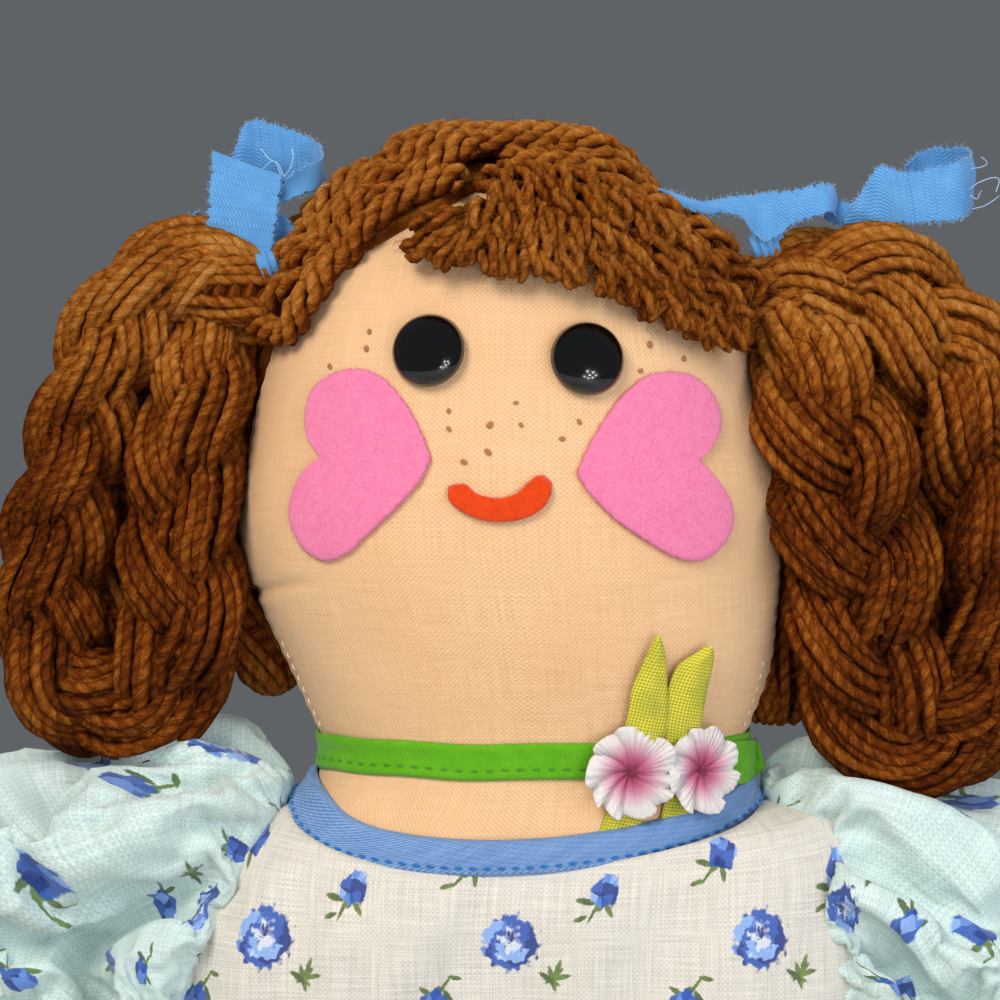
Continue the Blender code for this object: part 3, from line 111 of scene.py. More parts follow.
def meshPiece(name, points, faces, uv=None, material=None, marks=None, smooth=True):
    # faces: an array of quads or triangles, or a list of such arrays; uv: a pair for each vertex or each corner
    mesh = bpy.data.meshes.new(name)
    faces = faces if isinstance(faces, list) else [faces]
    corners = np.concatenate([f.ravel() for f in faces]).astype(np.int32)
    sizes = np.concatenate([np.full(len(f), f.shape[1]) for f in faces])
    mesh.vertices.add(len(points))
    mesh.vertices.foreach_set("co", np.asarray(points, np.float32).ravel())
    mesh.loops.add(len(corners))
    mesh.loops.foreach_set("vertex_index", corners)
    mesh.polygons.add(len(sizes))
    mesh.polygons.foreach_set("loop_start", np.concatenate([[0], np.cumsum(sizes)[:-1]]).astype(np.int32))
    mesh.update(calc_edges=True)
    if uv is not None:
        layer = mesh.uv_layers.new(name="UVMap")
        uv = np.asarray(uv, np.float32)
        layer.data.foreach_set("uv", (uv if len(uv) == len(corners) else uv[corners]).ravel())
    for label, values in (marks or {}).items():
        mesh.attributes.new(label, "FLOAT", "POINT").data.foreach_set("value", np.asarray(values, np.float32).ravel())
    mesh.polygons.foreach_set("use_smooth", np.full(len(sizes), smooth))
    mesh.validate()
    made = bpy.data.objects.new(name, mesh)
    bpy.context.scene.collection.objects.link(made)
    if material:
        mesh.materials.append(material)
    return made


def gridFaces(rows, columns, closedRows=False, closedColumns=False, start=0):
    # quads between neighbouring rows and columns of points, wrapping round where the grid is closed
    r = np.arange(rows if closedRows else rows - 1)[:, None]
    c = np.arange(columns if closedColumns else columns - 1)[None, :]
    r2, c2 = (r + 1) % rows, (c + 1) % columns
    quads = np.stack(np.broadcast_arrays(r * columns + c, r * columns + c2, r2 * columns + c2, r2 * columns + c), -1)
    return quads.reshape(-1, 4) + start


def cornerUvs(uv):  # from a grid of pairs with one column more than the points, each quad's four pairs in turn
    quads = np.stack([uv[..., :-1, :-1, :], uv[..., :-1, 1:, :], uv[..., 1:, 1:, :], uv[..., 1:, :-1, :]], -2)
    return quads.reshape(-1, 2)


def turnedUvs(uv):  # the corner pairs of quads that are wound the other way
    return uv.reshape(-1, 4, 2)[:, ::-1].reshape(-1, 2)


def copies(faces, count, points):  # the same faces for each of many like pieces, each with so many points
    return (faces[None] + (np.arange(count) * points)[:, None, None]).reshape(-1, faces.shape[1])


def tubeFaces(count, length, sides):  # for many closed tubes of so many rings: the quads round them, then the ends
    fan = np.array([[0, k + 1, k] for k in range(1, sides - 1)])
    caps = np.concatenate([fan, fan[:, ::-1] + (length - 1) * sides])
    return [copies(part, count, length * sides) for part in (gridFaces(length, sides, closedColumns=True), caps)]


def pairs(u, v):  # a grid of (u, v) from what varies across and what varies down
    return np.stack(np.broadcast_arrays(u, v), -1)


def unit(vectors):
    return vectors / np.maximum(np.linalg.norm(vectors, axis=-1, keepdims=True), 1e-12)


def distances(paths):  # how far along its own path each point lies
    steps = np.cumsum(np.linalg.norm(np.diff(paths, axis=-2), axis=-1), axis=-1)
    return np.concatenate([np.zeros((*steps.shape[:-1], 1)), steps], -1)


def downLengths(grid):  # how far down a grid each row lies, on average
    return np.concatenate([[0.0], np.cumsum(np.linalg.norm(np.diff(grid, axis=0), axis=2).mean(1))])


def turns(count):  # even steps of angle, once round
    return np.arange(count) / count * turn


def circle(angles, side, up):  # the way out from an axis at each angle
    return np.cos(angles)[..., None] * side + np.sin(angles)[..., None] * up


def axesOn(out):  # across and up, on a surface that faces out
    side = unit(np.cross((0, 0, 1), out))
    return side, np.cross(out, side)


def axesAlong(paths, outward):  # along a path, across it and out from it
    along = unit(np.gradient(paths, axis=-2))
    side = unit(np.cross(along, outward))
    return along, side, np.cross(side, along)


def closedForm(name, grid, material, uv=None):
    # a tube of rings closed by a fan of triangles at each end; uv has one column more than the rings have points
    rows, columns = grid.shape[:2]
    points = np.vstack([grid.reshape(-1, 3), grid[0].mean(0), grid[-1].mean(0)])
    c = np.arange(columns)
    first, last = rows * columns, rows * columns + 1
    lower = np.stack([np.full(columns, first), (c + 1) % columns, c], 1)
    upper = np.stack([np.full(columns, last), (rows - 1) * columns + c, (rows - 1) * columns + (c + 1) % columns], 1)
    faces = [gridFaces(rows, columns, closedColumns=True), lower, upper]
    uv = ringLengths(grid) if uv is None else uv
    ends = [np.stack([np.broadcast_to(row.mean(0), (columns, 2)), a, b], 1).reshape(-1, 2)
            for row, a, b in ((uv[0], uv[0, 1:], uv[0, :-1]), (uv[-1], uv[-1, :-1], uv[-1, 1:]))]
    return meshPiece(name, points, faces, np.vstack([cornerUvs(uv), *ends]), material)


def ringLengths(grid):
    # each point's distance round its ring, as a share of the widest ring, and its distance along the form, in metres
    around = np.linalg.norm(np.roll(grid, -1, axis=1) - grid, axis=2)
    u = np.arange(grid.shape[1] + 1) / grid.shape[1] * around.sum(1).max()
    return pairs(u[None, :], downLengths(grid)[:, None])


def put(piece, body, replaced=()):  # says what a finished piece rides on and stands for
    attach(piece, body)
    if replaced:
        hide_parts(*replaced)
    return piece


def throughFour(a, b, c, d, t):  # the point at t on the curve from b to c that its neighbours a and d shape
    return b + 0.5 * t * (c - a) + t ** 2 * (a - 2.5 * b + 2 * c - 0.5 * d) + 0.5 * t ** 3 * (-a + 3 * b - 3 * c + d)


def withEnds(rows):  # one more row at each end, carried on straight
    return np.concatenate([[2 * rows[0] - rows[1]], rows, [2 * rows[-1] - rows[-2]]])


def smoothCurve(points, count):
    # a smooth curve through the points, at even steps of its length; columns past the third go along with it
    points = np.array(points, float)
    padded = withEnds(points)
    t = np.linspace(0, 1, 40, endpoint=False)[:, None]
    spans = [throughFour(*four, t) for four in zip(padded[:-3], padded[1:-2], padded[2:-1], padded[3:])]
    dense = np.vstack(spans + [points[-1:]])
    travelled = distances(dense[:, :3])
    wanted = np.linspace(0, travelled[-1], count)
    return np.stack([np.interp(wanted, travelled, column) for column in dense.T], 1)


def ripple(points, size, seed, octaves=2):
    # soft lumps: a sum of sine waves in fixed random directions, about -1 to 1, repeating every size metres
    waves = np.random.default_rng(seed)
    total = np.zeros(points.shape[:-1])
    for octave in range(octaves):
        for _ in range(5):
            way = waves.normal(size=3)
            way *= turn / size * (1.9 ** octave) / np.linalg.norm(way)
            total += np.sin(points @ way + waves.uniform(0, turn)) / (1.8 ** octave)
    return total / 3.0


def bell(distance, width):  # 1 at 0, falling smoothly to nothing a few widths away
    return np.exp(-(distance / width) ** 2)


def softStep(value):
    value = np.clip(value, 0, 1)
    return value * value * (3 - 2 * value)


# ---- camera, from the photograph: low, straight on and close

cameraAt = {"x": -0.00256, "y": -0.7495, "z": 0.2865, "aimZ": 0.2603, "lens": 105.5, "perPixel": 0.000256, "away": 0.75}
lens = bpy.data.cameras.new("camera")
camera = bpy.data.objects.new("camera", lens)
bpy.context.scene.collection.objects.link(camera)
camera.location = (cameraAt["x"], cameraAt["y"], cameraAt["z"])
camera.rotation_euler = (math.radians(90) - math.atan2(cameraAt["z"] - cameraAt["aimZ"], -cameraAt["y"]), 0, 0)
lens.lens, lens.sensor_width = cameraAt["lens"], 36
bpy.context.scene.camera = camera


# ---- the stuffed forms

forms = {
    "torso": {"base": 0.0, "height": 0.195, "width": 0.143, "depth": 0.080, "lean": 0.006, "shares": (
        (0.00, 0.86, 0.96, 0.0), (0.05, 0.95, 1.04, 0.0), (0.16, 1.01, 1.10, 0.0), (0.36, 0.975, 1.06, 0.0),
        (0.52, 0.965, 1.00, 0.0), (0.70, 1.00, 0.98, 0.0), (0.79, 1.00, 0.96, 0.0), (0.86, 0.965, 0.92, 0.15),
        (0.915, 0.88, 0.87, 0.5), (0.96, 0.785, 0.835, 0.85), (1.00, 0.108 / 0.143, 0.066 / 0.080, 1.0))},
    "head": {"base": 0.1953, "height": 0.150, "width": 0.138, "depth": 0.088, "lean": 0.006, "shares": (
        (0.000, 0.108 / 0.138, 0.75, 1.0), (0.035, 0.790, 0.765, 1.0), (0.147, 0.885, 0.865, 0.83),
        (0.270, 0.962, 0.955, 0.35), (0.375, 1.000, 1.000, 0.0), (0.480, 0.985, 1.000, 0.0),
        (0.640, 0.905, 0.950, 0.0), (0.760, 0.825, 0.850, 0.0), (0.860, 0.725, 0.725, 0.0),
        (0.930, 0.580, 0.570, 0.0), (0.972, 0.400, 0.390, 0.0), (0.994, 0.190, 0.185, 0.0), (1.000, 0.0, 0.0, 0.0))},
    "roundness": 2.2,
}
for form in (forms["torso"], forms["head"]):
    sizes = np.array([form["height"], form["width"] / 2, form["depth"] / 2, form["lean"]])
    form["profile"] = smoothCurve(np.array(form["shares"]) * sizes, 900)
    form["profile"][:, 0] += form["base"]
torsoTop = 0.1949  # just below the neck's seam
headMiddle = np.array([0, 0, 0.270])


def sectionAt(form, z):
    profile = form["profile"]
    step = form["height"] / 300
    values = [np.interp(z, profile[:, 0], profile[:, i]) for i in (1, 2, 3)]
    rates = [
        (np.interp(z + step, profile[:, 0], profile[:, i]) - np.interp(z - step, profile[:, 0], profile[:, i]))
        / (2 * step) for i in (1, 2, 3)
    ]
    return values, rates


def formNormals(form, points):  # the slope of the rounded section |x/a|^p + |y/b|^p = 1 as a and b change with height
    (a, b, lean), (rateA, rateB, rateLean) = sectionAt(form, points[..., 2])
    a, b = np.maximum(a, 1e-5), np.maximum(b, 1e-5)
    power = forms["roundness"]
    across, along = (points[..., 0] - lean) / a, points[..., 1] / b
    pullX = np.sign(across) * np.abs(across) ** (power - 1)
    pullY = np.sign(along) * np.abs(along) ** (power - 1)
    slope = -pullX * (rateLean + across * rateA) / a - pullY * along * rateB / b
    normals = np.stack([pullX / a, pullY / b, slope], -1)
    return unit(normals)


def lifted(form, points, lift):
    return points + formNormals(form, points) * np.broadcast_to(lift, points.shape[:-1])[..., None]


def roundForm(form, angles, z, lift=0.0):  # points round a form, at angles from +X and heights
    angles, z = np.broadcast_arrays(angles, z)
    (a, b, lean), _ = sectionAt(form, z)
    power = 2 / forms["roundness"]
    x = lean + a * np.sign(np.cos(angles)) * np.abs(np.cos(angles)) ** power
    y = b * np.sign(np.sin(angles)) * np.abs(np.sin(angles)) ** power
    return lifted(form, np.stack([x, y, z], -1), lift)


def frontOf(form, x, z, lift=0.0, side=-1.0):  # points straight on the front of a form
    x, z = np.broadcast_arrays(x, z)
    (a, b, lean), _ = sectionAt(form, z)
    across = np.clip(np.abs((x - lean) / np.maximum(a, 1e-5)), 0, 0.999)
    y = side * b * (1 - across ** forms["roundness"]) ** (1 / forms["roundness"])
    return lifted(form, np.stack([x, y, z], -1), lift)


def fromPixels(pixels, y):  # where a pixel of the photograph lies on the upright plane at depth y
    pixels, y = np.asarray(pixels, float), np.asarray(y, float)
    scale = cameraAt["perPixel"] * (cameraAt["away"] + y) / cameraAt["away"]
    x = cameraAt["x"] + (pixels[..., 0] - 500) * scale
    z = cameraAt["aimZ"] + (500 - pixels[..., 1]) * scale - y * math.tan(math.radians(2))
    return x, z


def onFace(pixels, lift=0.0, form=forms["head"]):  # the point of the front that a pixel shows, found by a few tries
    y = np.full(np.shape(pixels)[:-1], -form["depth"] / 2)
    for _ in range(6):
        x, z = fromPixels(pixels, y)
        y = frontOf(form, x, z, lift)[..., 1]
    return frontOf(form, x, z, lift)


def profileHeights(form, count, low=None, high=None):  # heights at even steps of the outline's own length
    profile = form["profile"]
    travelled = np.concatenate([[0], np.cumsum(np.hypot(np.diff(profile[:, 0]), np.diff(profile[:, 1])))])
    ends = np.interp([form["base"] if low is None else low, profile[-1, 0] if high is None else high],
                     profile[:, 0], travelled)
    return np.interp(np.linspace(*ends, count), travelled, profile[:, 0])


# ---- materials

# crease: how much darker each yarn is coloured on the side that faces in, painted shade in the creases between yarns
yarnLook = {"plyTurn": 0.0085, "lobe": 0.13, "sides": 6, "step": 0.0013, "crease": 1.1}

def weave(tree, uv, spacing, slub=0.35, check=0.5):
    # plain weave from the piece's own UV in metres: threads over and under at the real spacing, with thicker
    # stretches of thread here and there; gives a height from 0 to 1
    scaled = vector(tree, "MULTIPLY", uv, (turn / spacing / 2, turn / spacing / 2, 0))
    parts = addNode(tree, "SeparateXYZ", {0: scaled})
    warp = calc(tree, "SINE", parts.outputs[0])
    weft = calc(tree, "SINE", parts.outputs[1])
    checks = calc(tree, "MULTIPLY", warp, weft)
    stretchU = vector(tree, "MULTIPLY", uv, (60, 1.6 / spacing, 0))
    stretchV = vector(tree, "MULTIPLY", uv, (1.6 / spacing, 60, 7))
    slubU = noise(tree, stretchU, 1.0, 2.0)
    slubV = noise(tree, stretchV, 1.0, 2.0)
    slubs = calc(tree, "ADD", slubU, slubV)
    slubs = calc(tree, "MULTIPLY", slubs, slub)
    return calc(tree, "MULTIPLY_ADD", checks, check, slubs)


def tint(tree, factor, dark, light, low=0.0, high=1.0):  # a colour between two, by a factor
    spread = ranged(tree, factor, low, high)
    return mixed(tree, spread, dark, light)


def colourSteps(tree, factor, steps, kind="LINEAR"):  # a ramp of colours, each at its place from 0 to 1
    ramp = addNode(tree, "ValToRGB", {0: factor})
    ramp.color_ramp.interpolation = kind
    for i, (position, colour) in enumerate(steps):
        stop = ramp.color_ramp.elements[i] if i < 2 else ramp.color_ramp.elements.new(position)
        stop.position, stop.color = position, hexColour(colour)
    return ramp.outputs[0]


def bump(tree, shader, height, depth):  # a height in metres onto the surface
    lump = addNode(tree, "Bump", {"Height": height, "Strength": 1.0, "Distance": depth})
    tree.links.new(lump.outputs[0], shader.inputs["Normal"])


def muslinMaterial():
    # unbleached cotton muslin, plain woven: matte, warm peach, with threads 0.6 mm apart, slubs, soft
    # stains and faint pulls
    made, tree, shader = startMaterial("woven cotton muslin", {"Roughness": 0.88, "Sheen Weight": 0.12,
                                                              "Specular IOR Level": 0.25})
    uv = addNode(tree, "UVMap").outputs[0]
    threads = weave(tree, uv, 0.0006, 0.8, 0.32)
    blotch = noise(tree, objectPlace(tree), 22.0, 3.0)
    cloth = tint(tree, threads, "cb9462", "f7d3a8", -0.1, 1.3)
    warm = mixed(tree, ranged(tree, blotch, 0.35, 0.7), cloth, "e2ab7a")
    soften = mixed(tree, 0.35, cloth, warm)
    tree.links.new(soften, shader.inputs["Base Color"])
    pulled = vector(tree, "MULTIPLY", uv, (55, 130, 0))
    pulled = noise(tree, pulled, 1.0, 3.0, distortion=0.8)
    height = calc(tree, "MULTIPLY_ADD", pulled, 3.0, threads)
    bump(tree, shader, height, 0.00012)
    return made


def feltMaterial(name, dark, light):
    # pressed wool felt: no weave, short matted fibres that soften the light, small pits and specks
    made, tree, shader = startMaterial(name, {"Roughness": 0.95, "Sheen Weight": 0.35, "Sheen Roughness": 0.5,
                                              "Specular IOR Level": 0.15})
    place = objectPlace(tree)
    fibres = noise(tree, place, 1700.0, 4.0, distortion=1.2)
    clumps = noise(tree, place, 420.0, 3.0)
    both = calc(tree, "MULTIPLY_ADD", clumps, 0.35, fibres)
    tree.links.new(tint(tree, both, dark, light, 0.45, 0.95), shader.inputs["Base Color"])
    bump(tree, shader, both, 0.00030)
    return made


def buttonMaterial(name, colour, rough):
    # cast and polished plastic button: near-black with a clear, hard shine and faint haze
    made, tree, shader = startMaterial(name, {"Base Color": colour, "IOR": 1.5, "Coat Weight": 0.6,
                                              "Coat Roughness": 0.06})
    haze = noise(tree, objectPlace(tree), 900.0, 3.0)
    wear = ranged(tree, haze, 0.3, 0.8, rough, rough * 2)
    tree.links.new(wear.outputs[0], shader.inputs["Roughness"])
    return made


def tapeMaterial(name, dark, light, spacing, slanted=0.0):
    # folded cotton tape or twill: fine tight threads, twill ones running slantwise
    made, tree, shader = startMaterial(name, {"Roughness": 0.8, "Sheen Weight": 0.15, "Specular IOR Level": 0.3})
    uv = addNode(tree, "UVMap").outputs[0]
    turned = addNode(tree, "Mapping", {"Vector": uv, "Rotation": (0, 0, slanted)})
    threads = weave(tree, turned.outputs[0], spacing, 0.3, 0.2)
    if slanted:
        lines = vector(tree, "MULTIPLY", turned, (turn / spacing / 1.6, 0, 0))
        lines = calc(tree, "SINE", addNode(tree, "SeparateXYZ", {0: lines}).outputs[0])
        threads = calc(tree, "MULTIPLY_ADD", lines, 0.45, threads)
    handled = noise(tree, uv, 190.0, 4.0)
    mottled = calc(tree, "MULTIPLY_ADD", handled, 0.9, threads)
    tree.links.new(tint(tree, mottled, dark, light, 0.0, 1.3), shader.inputs["Base Color"])
    bump(tree, shader, mottled, 0.00013)
    return made


def threadMaterial(name, colour):
    # spun sewing thread: a slight shine along the stitch
    made, tree, shader = startMaterial(name, {"Base Color": colour, "Roughness": 0.6, "Sheen Weight": 0.2})
    twist = noise(tree, objectPlace(tree), 2500.0)
    bump(tree, shader, twist, 0.00005)
    return made


roseTile = {"width": 0.062, "height": 0.052, "inkBleed": 0.0003}
roseMotifs = {
    # each bloom: middle, turn in degrees, half width and half height, in millimetres within the tile
    "blooms": ((0.0, 0.0, 0, 7.0, 6.6), (-19.3, 15.0, 20, 3.3, 4.1), (22.5, -12.0, 200, 3.3, 4.2),
               (3.5, 21.0, -60, 3.2, 4.0), (-10.0, -19.5, 150, 3.4, 4.1)),
    # each leaf or stem: middle, direction in degrees, half length and half width
    "leaves": (
        (10.3, 8.6, 75, 3.3, 0.75), (10.8, 7.8, 140, 3.0, 0.7), (11.6, 8.2, -10, 3.6, 0.7), (9.6, 8.6, -150, 3.2, 0.75),
        (11.4, 6.8, -70, 3.2, 0.7),
        (-17.0, 11.2, -52, 4.6, 0.45), (-20.9, 11.6, 215, 2.2, 0.7), (-15.2, 13.4, 60, 2.6, 0.8),
        (-13.6, 8.4, 10, 1.8, 0.6), (-18.2, 11.9, -60, 1.8, 1.1),
        (20.6, -8.4, 118, 4.2, 0.45), (23.6, -8.0, 60, 2.2, 0.7), (18.0, -9.8, 190, 2.6, 0.8), (21.6, -9.2, 110, 1.8, 1.1),
        (16.8, -5.8, 160, 1.8, 0.6),
        (7.4, 19.6, -20, 4.2, 0.45), (6.0, 22.8, 40, 2.3, 0.7), (6.6, 18.0, -75, 2.4, 0.7), (6.2, 20.6, -30, 1.7, 1.0),
        (-12.6, -16.2, 130, 4.4, 0.45), (-9.8, -15.4, 80, 2.3, 0.7), (-14.6, -17.6, 195, 2.5, 0.75),
        (-11.8, -17.0, 125, 1.8, 1.1), (-16.4, -13.4, 165, 1.8, 0.6),
    ),
}


def voileMaterial(name, shade, light, shift):
    # thin crinkled cotton voile, off white, printed with small blue roses and green leaves that repeat every
    # 62 by 52 mm in half-drop rows; the ink's edge steps along the threads
    made, tree, shader = startMaterial(name, {"Roughness": 0.85, "Sheen Weight": 0.25, "Specular IOR Level": 0.2,
                                              "Subsurface Weight": 0.08, "Subsurface Scale": 0.004})
    uv = addNode(tree, "UVMap").outputs[0]
    threads = weave(tree, uv, 0.0006, 1.1, 0.16)
    ground = tint(tree, threads, shade, light, 0.15, 1.35)
    ragged = addNode(tree, "TexNoise", {"Vector": uv, "Scale": 1500.0, "Detail": 1.0})
    ragged = vector(tree, "SUBTRACT", ragged.outputs["Color"], (0.5, 0.5, 0.5))
    bleed = roseTile["inkBleed"] * 2
    ragged = vector(tree, "MULTIPLY", ragged, (bleed, bleed, 0))
    moved = vector(tree, "ADD", uv, ragged)
    moved = vector(tree, "ADD", moved, (*shift, 0))
    parts = addNode(tree, "SeparateXYZ", {0: moved})
    down = calc(tree, "DIVIDE", parts.outputs[1], roseTile["height"])
    row = calc(tree, "FLOOR", down)
    across = calc(tree, "DIVIDE", parts.outputs[0], roseTile["width"])
    across = calc(tree, "MULTIPLY_ADD", row, 0.5, across)
    across = calc(tree, "FRACT", across)
    down = calc(tree, "FRACT", down)
    tile = addNode(tree, "CombineXYZ", {0: across, 1: down, 2: 0.0})
    tile = vector(tree, "SUBTRACT", tile, (0.5, 0.5, 0))
    millimetres = vector(tree, "MULTIPLY", tile, (roseTile["width"] * 1000, roseTile["height"] * 1000, 1))
    green = None
    for x, y, degrees, length, width in roseMotifs["leaves"]:
        local = addNode(tree, "Mapping", {"Vector": millimetres, "Location": (x, y, 0), "Scale": (length, width, 1),
                                          "Rotation": (0, 0, math.radians(degrees))}, vector_type="TEXTURE")
        reach = vector(tree, "LENGTH", local).outputs["Value"]
        green = reach if green is None else calc(tree, "MINIMUM", green, reach).outputs[0]
    wobble = noise(tree, millimetres, 0.42, 1.0)
    wobble = calc(tree, "SUBTRACT", wobble, 0.5)
    blue = heart = open_ = None
    for x, y, degrees, width, height in roseMotifs["blooms"]:
        local = addNode(tree, "Mapping", {"Vector": millimetres, "Location": (x, y, 0), "Scale": (width, height, 1),
                                          "Rotation": (0, 0, math.radians(degrees))}, vector_type="TEXTURE")
        reach = vector(tree, "LENGTH", local).outputs["Value"]
        blue = reach if blue is None else calc(tree, "MINIMUM", blue, reach).outputs[0]
        heart, open_ = (reach, local) if heart is None else (heart, open_)
    blue = calc(tree, "MULTIPLY_ADD", wobble, 0.9, blue)
    # petals of the open rose: patches laid out by the angle round its middle and the distance from it, so that
    # they curl round it; a bud has two or three patches. Three blues, with white lights in the heart
    around = addNode(tree, "SeparateXYZ", {0: open_})
    around = calc(tree, "ARCTAN2", around.outputs[1], around.outputs[0])
    winding = calc(tree, "MULTIPLY_ADD", heart, 1.5, calc(tree, "MULTIPLY", around, 0.72))
    rings = calc(tree, "MULTIPLY", calc(tree, "MULTIPLY_ADD", wobble, 0.9, heart), 2.5)
    curled = addNode(tree, "CombineXYZ", {0: winding, 1: rings, 2: 0.0})
    budPlace = vector(tree, "MULTIPLY", millimetres, (0.36, 0.36, 0))
    inOpen = calc(tree, "LESS_THAN", heart, 1.35)
    petalPlace = addNode(tree, "Mix", {0: inOpen, 4: budPlace, 5: curled}, data_type="VECTOR")
    patches = addNode(tree, "TexVoronoi", {"Vector": petalPlace.outputs[1], "Scale": 1.0, "Randomness": 0.8})
    petals = addNode(tree, "SeparateColor", {0: patches.outputs["Color"]})
    inks = colourSteps(tree, petals.outputs[0], ((0.0, "1d3a86"), (0.30, "315ab0"), (0.62, "5a86d4"), (0.86, "86a9e4")),
                       "CONSTANT")
    lights = calc(tree, "MULTIPLY_ADD", wobble, 1.8, heart)
    lights = ranged(tree, lights, 0.22, 0.46, 0.75, 0.0)
    folded = ranged(tree, patches.outputs["Distance"], 0.30, 0.42, 0.0, 1.0)
    lights = calc(tree, "MULTIPLY", lights, folded)
    petalInk = mixed(tree, lights, inks, "eef2f6")
    leafInk = tint(tree, petals.outputs[1], "3c5426", "66803a")
    leafOn = ranged(tree, green, 0.85, 1.1, 0.92, 0.0)
    petalOn = ranged(tree, blue, 0.92, 1.04, 0.94, 0.0)
    inked = mixed(tree, leafOn, ground, leafInk)
    inked = mixed(tree, petalOn, inked, petalInk)
    # the ink sinks between the threads
    worn = ranged(tree, threads, 0.1, 1.4, 0.80, 1.10)
    shown = vector(tree, "MULTIPLY", inked, addNode(tree, "CombineXYZ", {0: worn, 1: worn, 2: worn}))
    tree.links.new(shown.outputs[0], shader.inputs["Base Color"])
    drawn = vector(tree, "MULTIPLY", uv, (330, 90, 0))
    crinkle = noise(tree, drawn, 1.0, 3.0, distortion=0.6)
    height = calc(tree, "MULTIPLY_ADD", crinkle, 4.0, threads)
    bump(tree, shader, height, 0.00014)
    return made


def yarnMaterial():
    # thick soft-spun two-ply yarn, dyed golden brown: matte, the plies twist round each other with a darker line
    # between them that is painted shade, fine fibres streak along them, and the dye runs lighter and darker from yarn
    # to yarn. The shade attribute carries that dye tone and also painted light and shade: darker in the creases between
    # yarns, in the dark fillings and underlayer, lighter or darker across the plaits by where light falls, and lighter
    # on the loose fibres as painted highlight
    made, tree, shader = startMaterial("soft spun yarn", {"Roughness": 0.92, "Sheen Weight": 0.05,
                                                         "Sheen Tint": "a8642a", "Specular IOR Level": 0.08})
    uv = addNode(tree, "UVMap").outputs[0]
    parts = addNode(tree, "SeparateXYZ", {0: uv})
    # u runs round the yarn in turns, v along it in metres; the plies climb one turn every 7 mm
    climb = calc(tree, "MULTIPLY", parts.outputs[1], turn / yarnLook["plyTurn"])
    spin = calc(tree, "MULTIPLY_ADD", parts.outputs[0], turn, climb)
    ply = calc(tree, "ABSOLUTE", calc(tree, "SINE", spin))
    place = objectPlace(tree)
    along = addNode(tree, "CombineXYZ", {0: spin, 1: calc(tree, "MULTIPLY", parts.outputs[1], 260.0), 2: 0.0})
    streaks = vector(tree, "MULTIPLY", along, (2.0, 0.8, 1))
    fibres = noise(tree, streaks, 1.6, 5.0, 0.65, 0.8)
    matted = noise(tree, place, 900.0, 4.0, 0.7)
    patches = noise(tree, place, 45.0, 2.0)
    rough = calc(tree, "MULTIPLY_ADD", fibres, 1.7, matted)
    height = calc(tree, "MULTIPLY_ADD", ply, 0.30, rough)
    shade = addNode(tree, "Attribute", attribute_name="shade").outputs["Fac"]
    # painted shade: the colour follows the bump's height, darker in the grooves between the plies, and follows the
    # shade attribute, which holds the dye's tone and painted light and shade
    lit = calc(tree, "MULTIPLY_ADD", shade, 0.30, height)
    lit = calc(tree, "MULTIPLY_ADD", patches, 0.7, lit)
    lit = ranged(tree, lit, 0.98, 2.55)
    dyed = colourSteps(tree, lit, ((0.0, "3c1705"), (0.33, "7a3a0d"), (0.62, "b06a24"), (1.0, "dda258")))
    tree.links.new(dyed, shader.inputs["Base Color"])
    bump(tree, shader, height, 0.00045)
    return made


muslin = muslinMaterial()
pinkFelt = feltMaterial("pink wool felt", "ea6fa0", "f893b8")
redFelt = feltMaterial("orange-red wool felt", "d23603", "f24c0c")
blackPlastic = buttonMaterial("polished black plastic", "070708", 0.11)
pearlPlastic = buttonMaterial("pearly plastic", "e9e3d8", 0.2)
greenTape = tapeMaterial("green cotton tape", "428a06", "6cbc18", 0.0005)
blueTwill = tapeMaterial("blue cotton twill", "466fac", "8bb0e2", 0.0007, 0.9)
tornCotton = tapeMaterial("torn blue cotton", "4184c9", "70b0e8", 0.00042, 0.8)
bodiceVoile = voileMaterial("printed voile, lined", "b5aea4", "dfd8cf", (0.0, 0.024 - 0.1554))
sleeveVoile = voileMaterial("printed voile, single", "9fbab6", "d3e4e1", (0.012, 0.008))
yarn = yarnMaterial()
greenThread = threadMaterial("green sewing thread", "3f9410")
blueThread = threadMaterial("blue sewing thread", "0f6fc0")
creamThread = threadMaterial("cream sewing thread", "f6e0c4")
elasticMaterial = tapeMaterial("woven elastic", "d8d6d0", "f4f2ec", 0.0006)
print("materials made")


# ---- head

headLook = {"around": 288, "up": 150, "lump": 0.00025, "seamAngle": 0.16, "seamDepth": 0.0007, "pucker": 0.00025}
angles = turns(headLook["around"])
heights = profileHeights(forms["head"], headLook["up"])[:-1]
headGrid = roundForm(forms["head"], angles[None, :], heights[:, None])
normals = formNormals(forms["head"], headGrid)
lift = headLook["lump"] * ripple(headGrid, 0.045, 3)
for side in (0.0, math.pi):
    away = (np.abs((angles - side + math.pi) % turn - math.pi) - headLook["seamAngle"]) * 0.06
    frontOnly = (np.sin(angles) < 0)
    lift -= headLook["seamDepth"] * bell(away, 0.0011) * frontOnly
    lift += headLook["pucker"] * bell(away, 0.006) * np.sin(heights * turn / 0.0045)[:, None] * frontOnly
crease = np.array([-0.0600, -0.020, 0.2385])  # the pull line low on the doll's right cheek
lift -= 0.0012 * bell(headGrid[..., 2] - crease[2] - 0.25 * (headGrid[..., 0] - crease[0]), 0.0016) * bell(
    headGrid[..., 0] - crease[0], 0.010) * (headGrid[..., 1] < 0.01)
lift *= softStep((headGrid[..., 2] - forms["head"]["base"]) / 0.008)
head = closedForm("head_skin", headGrid + normals * lift[..., None], muslin)
put(head, "doll", ["head"])


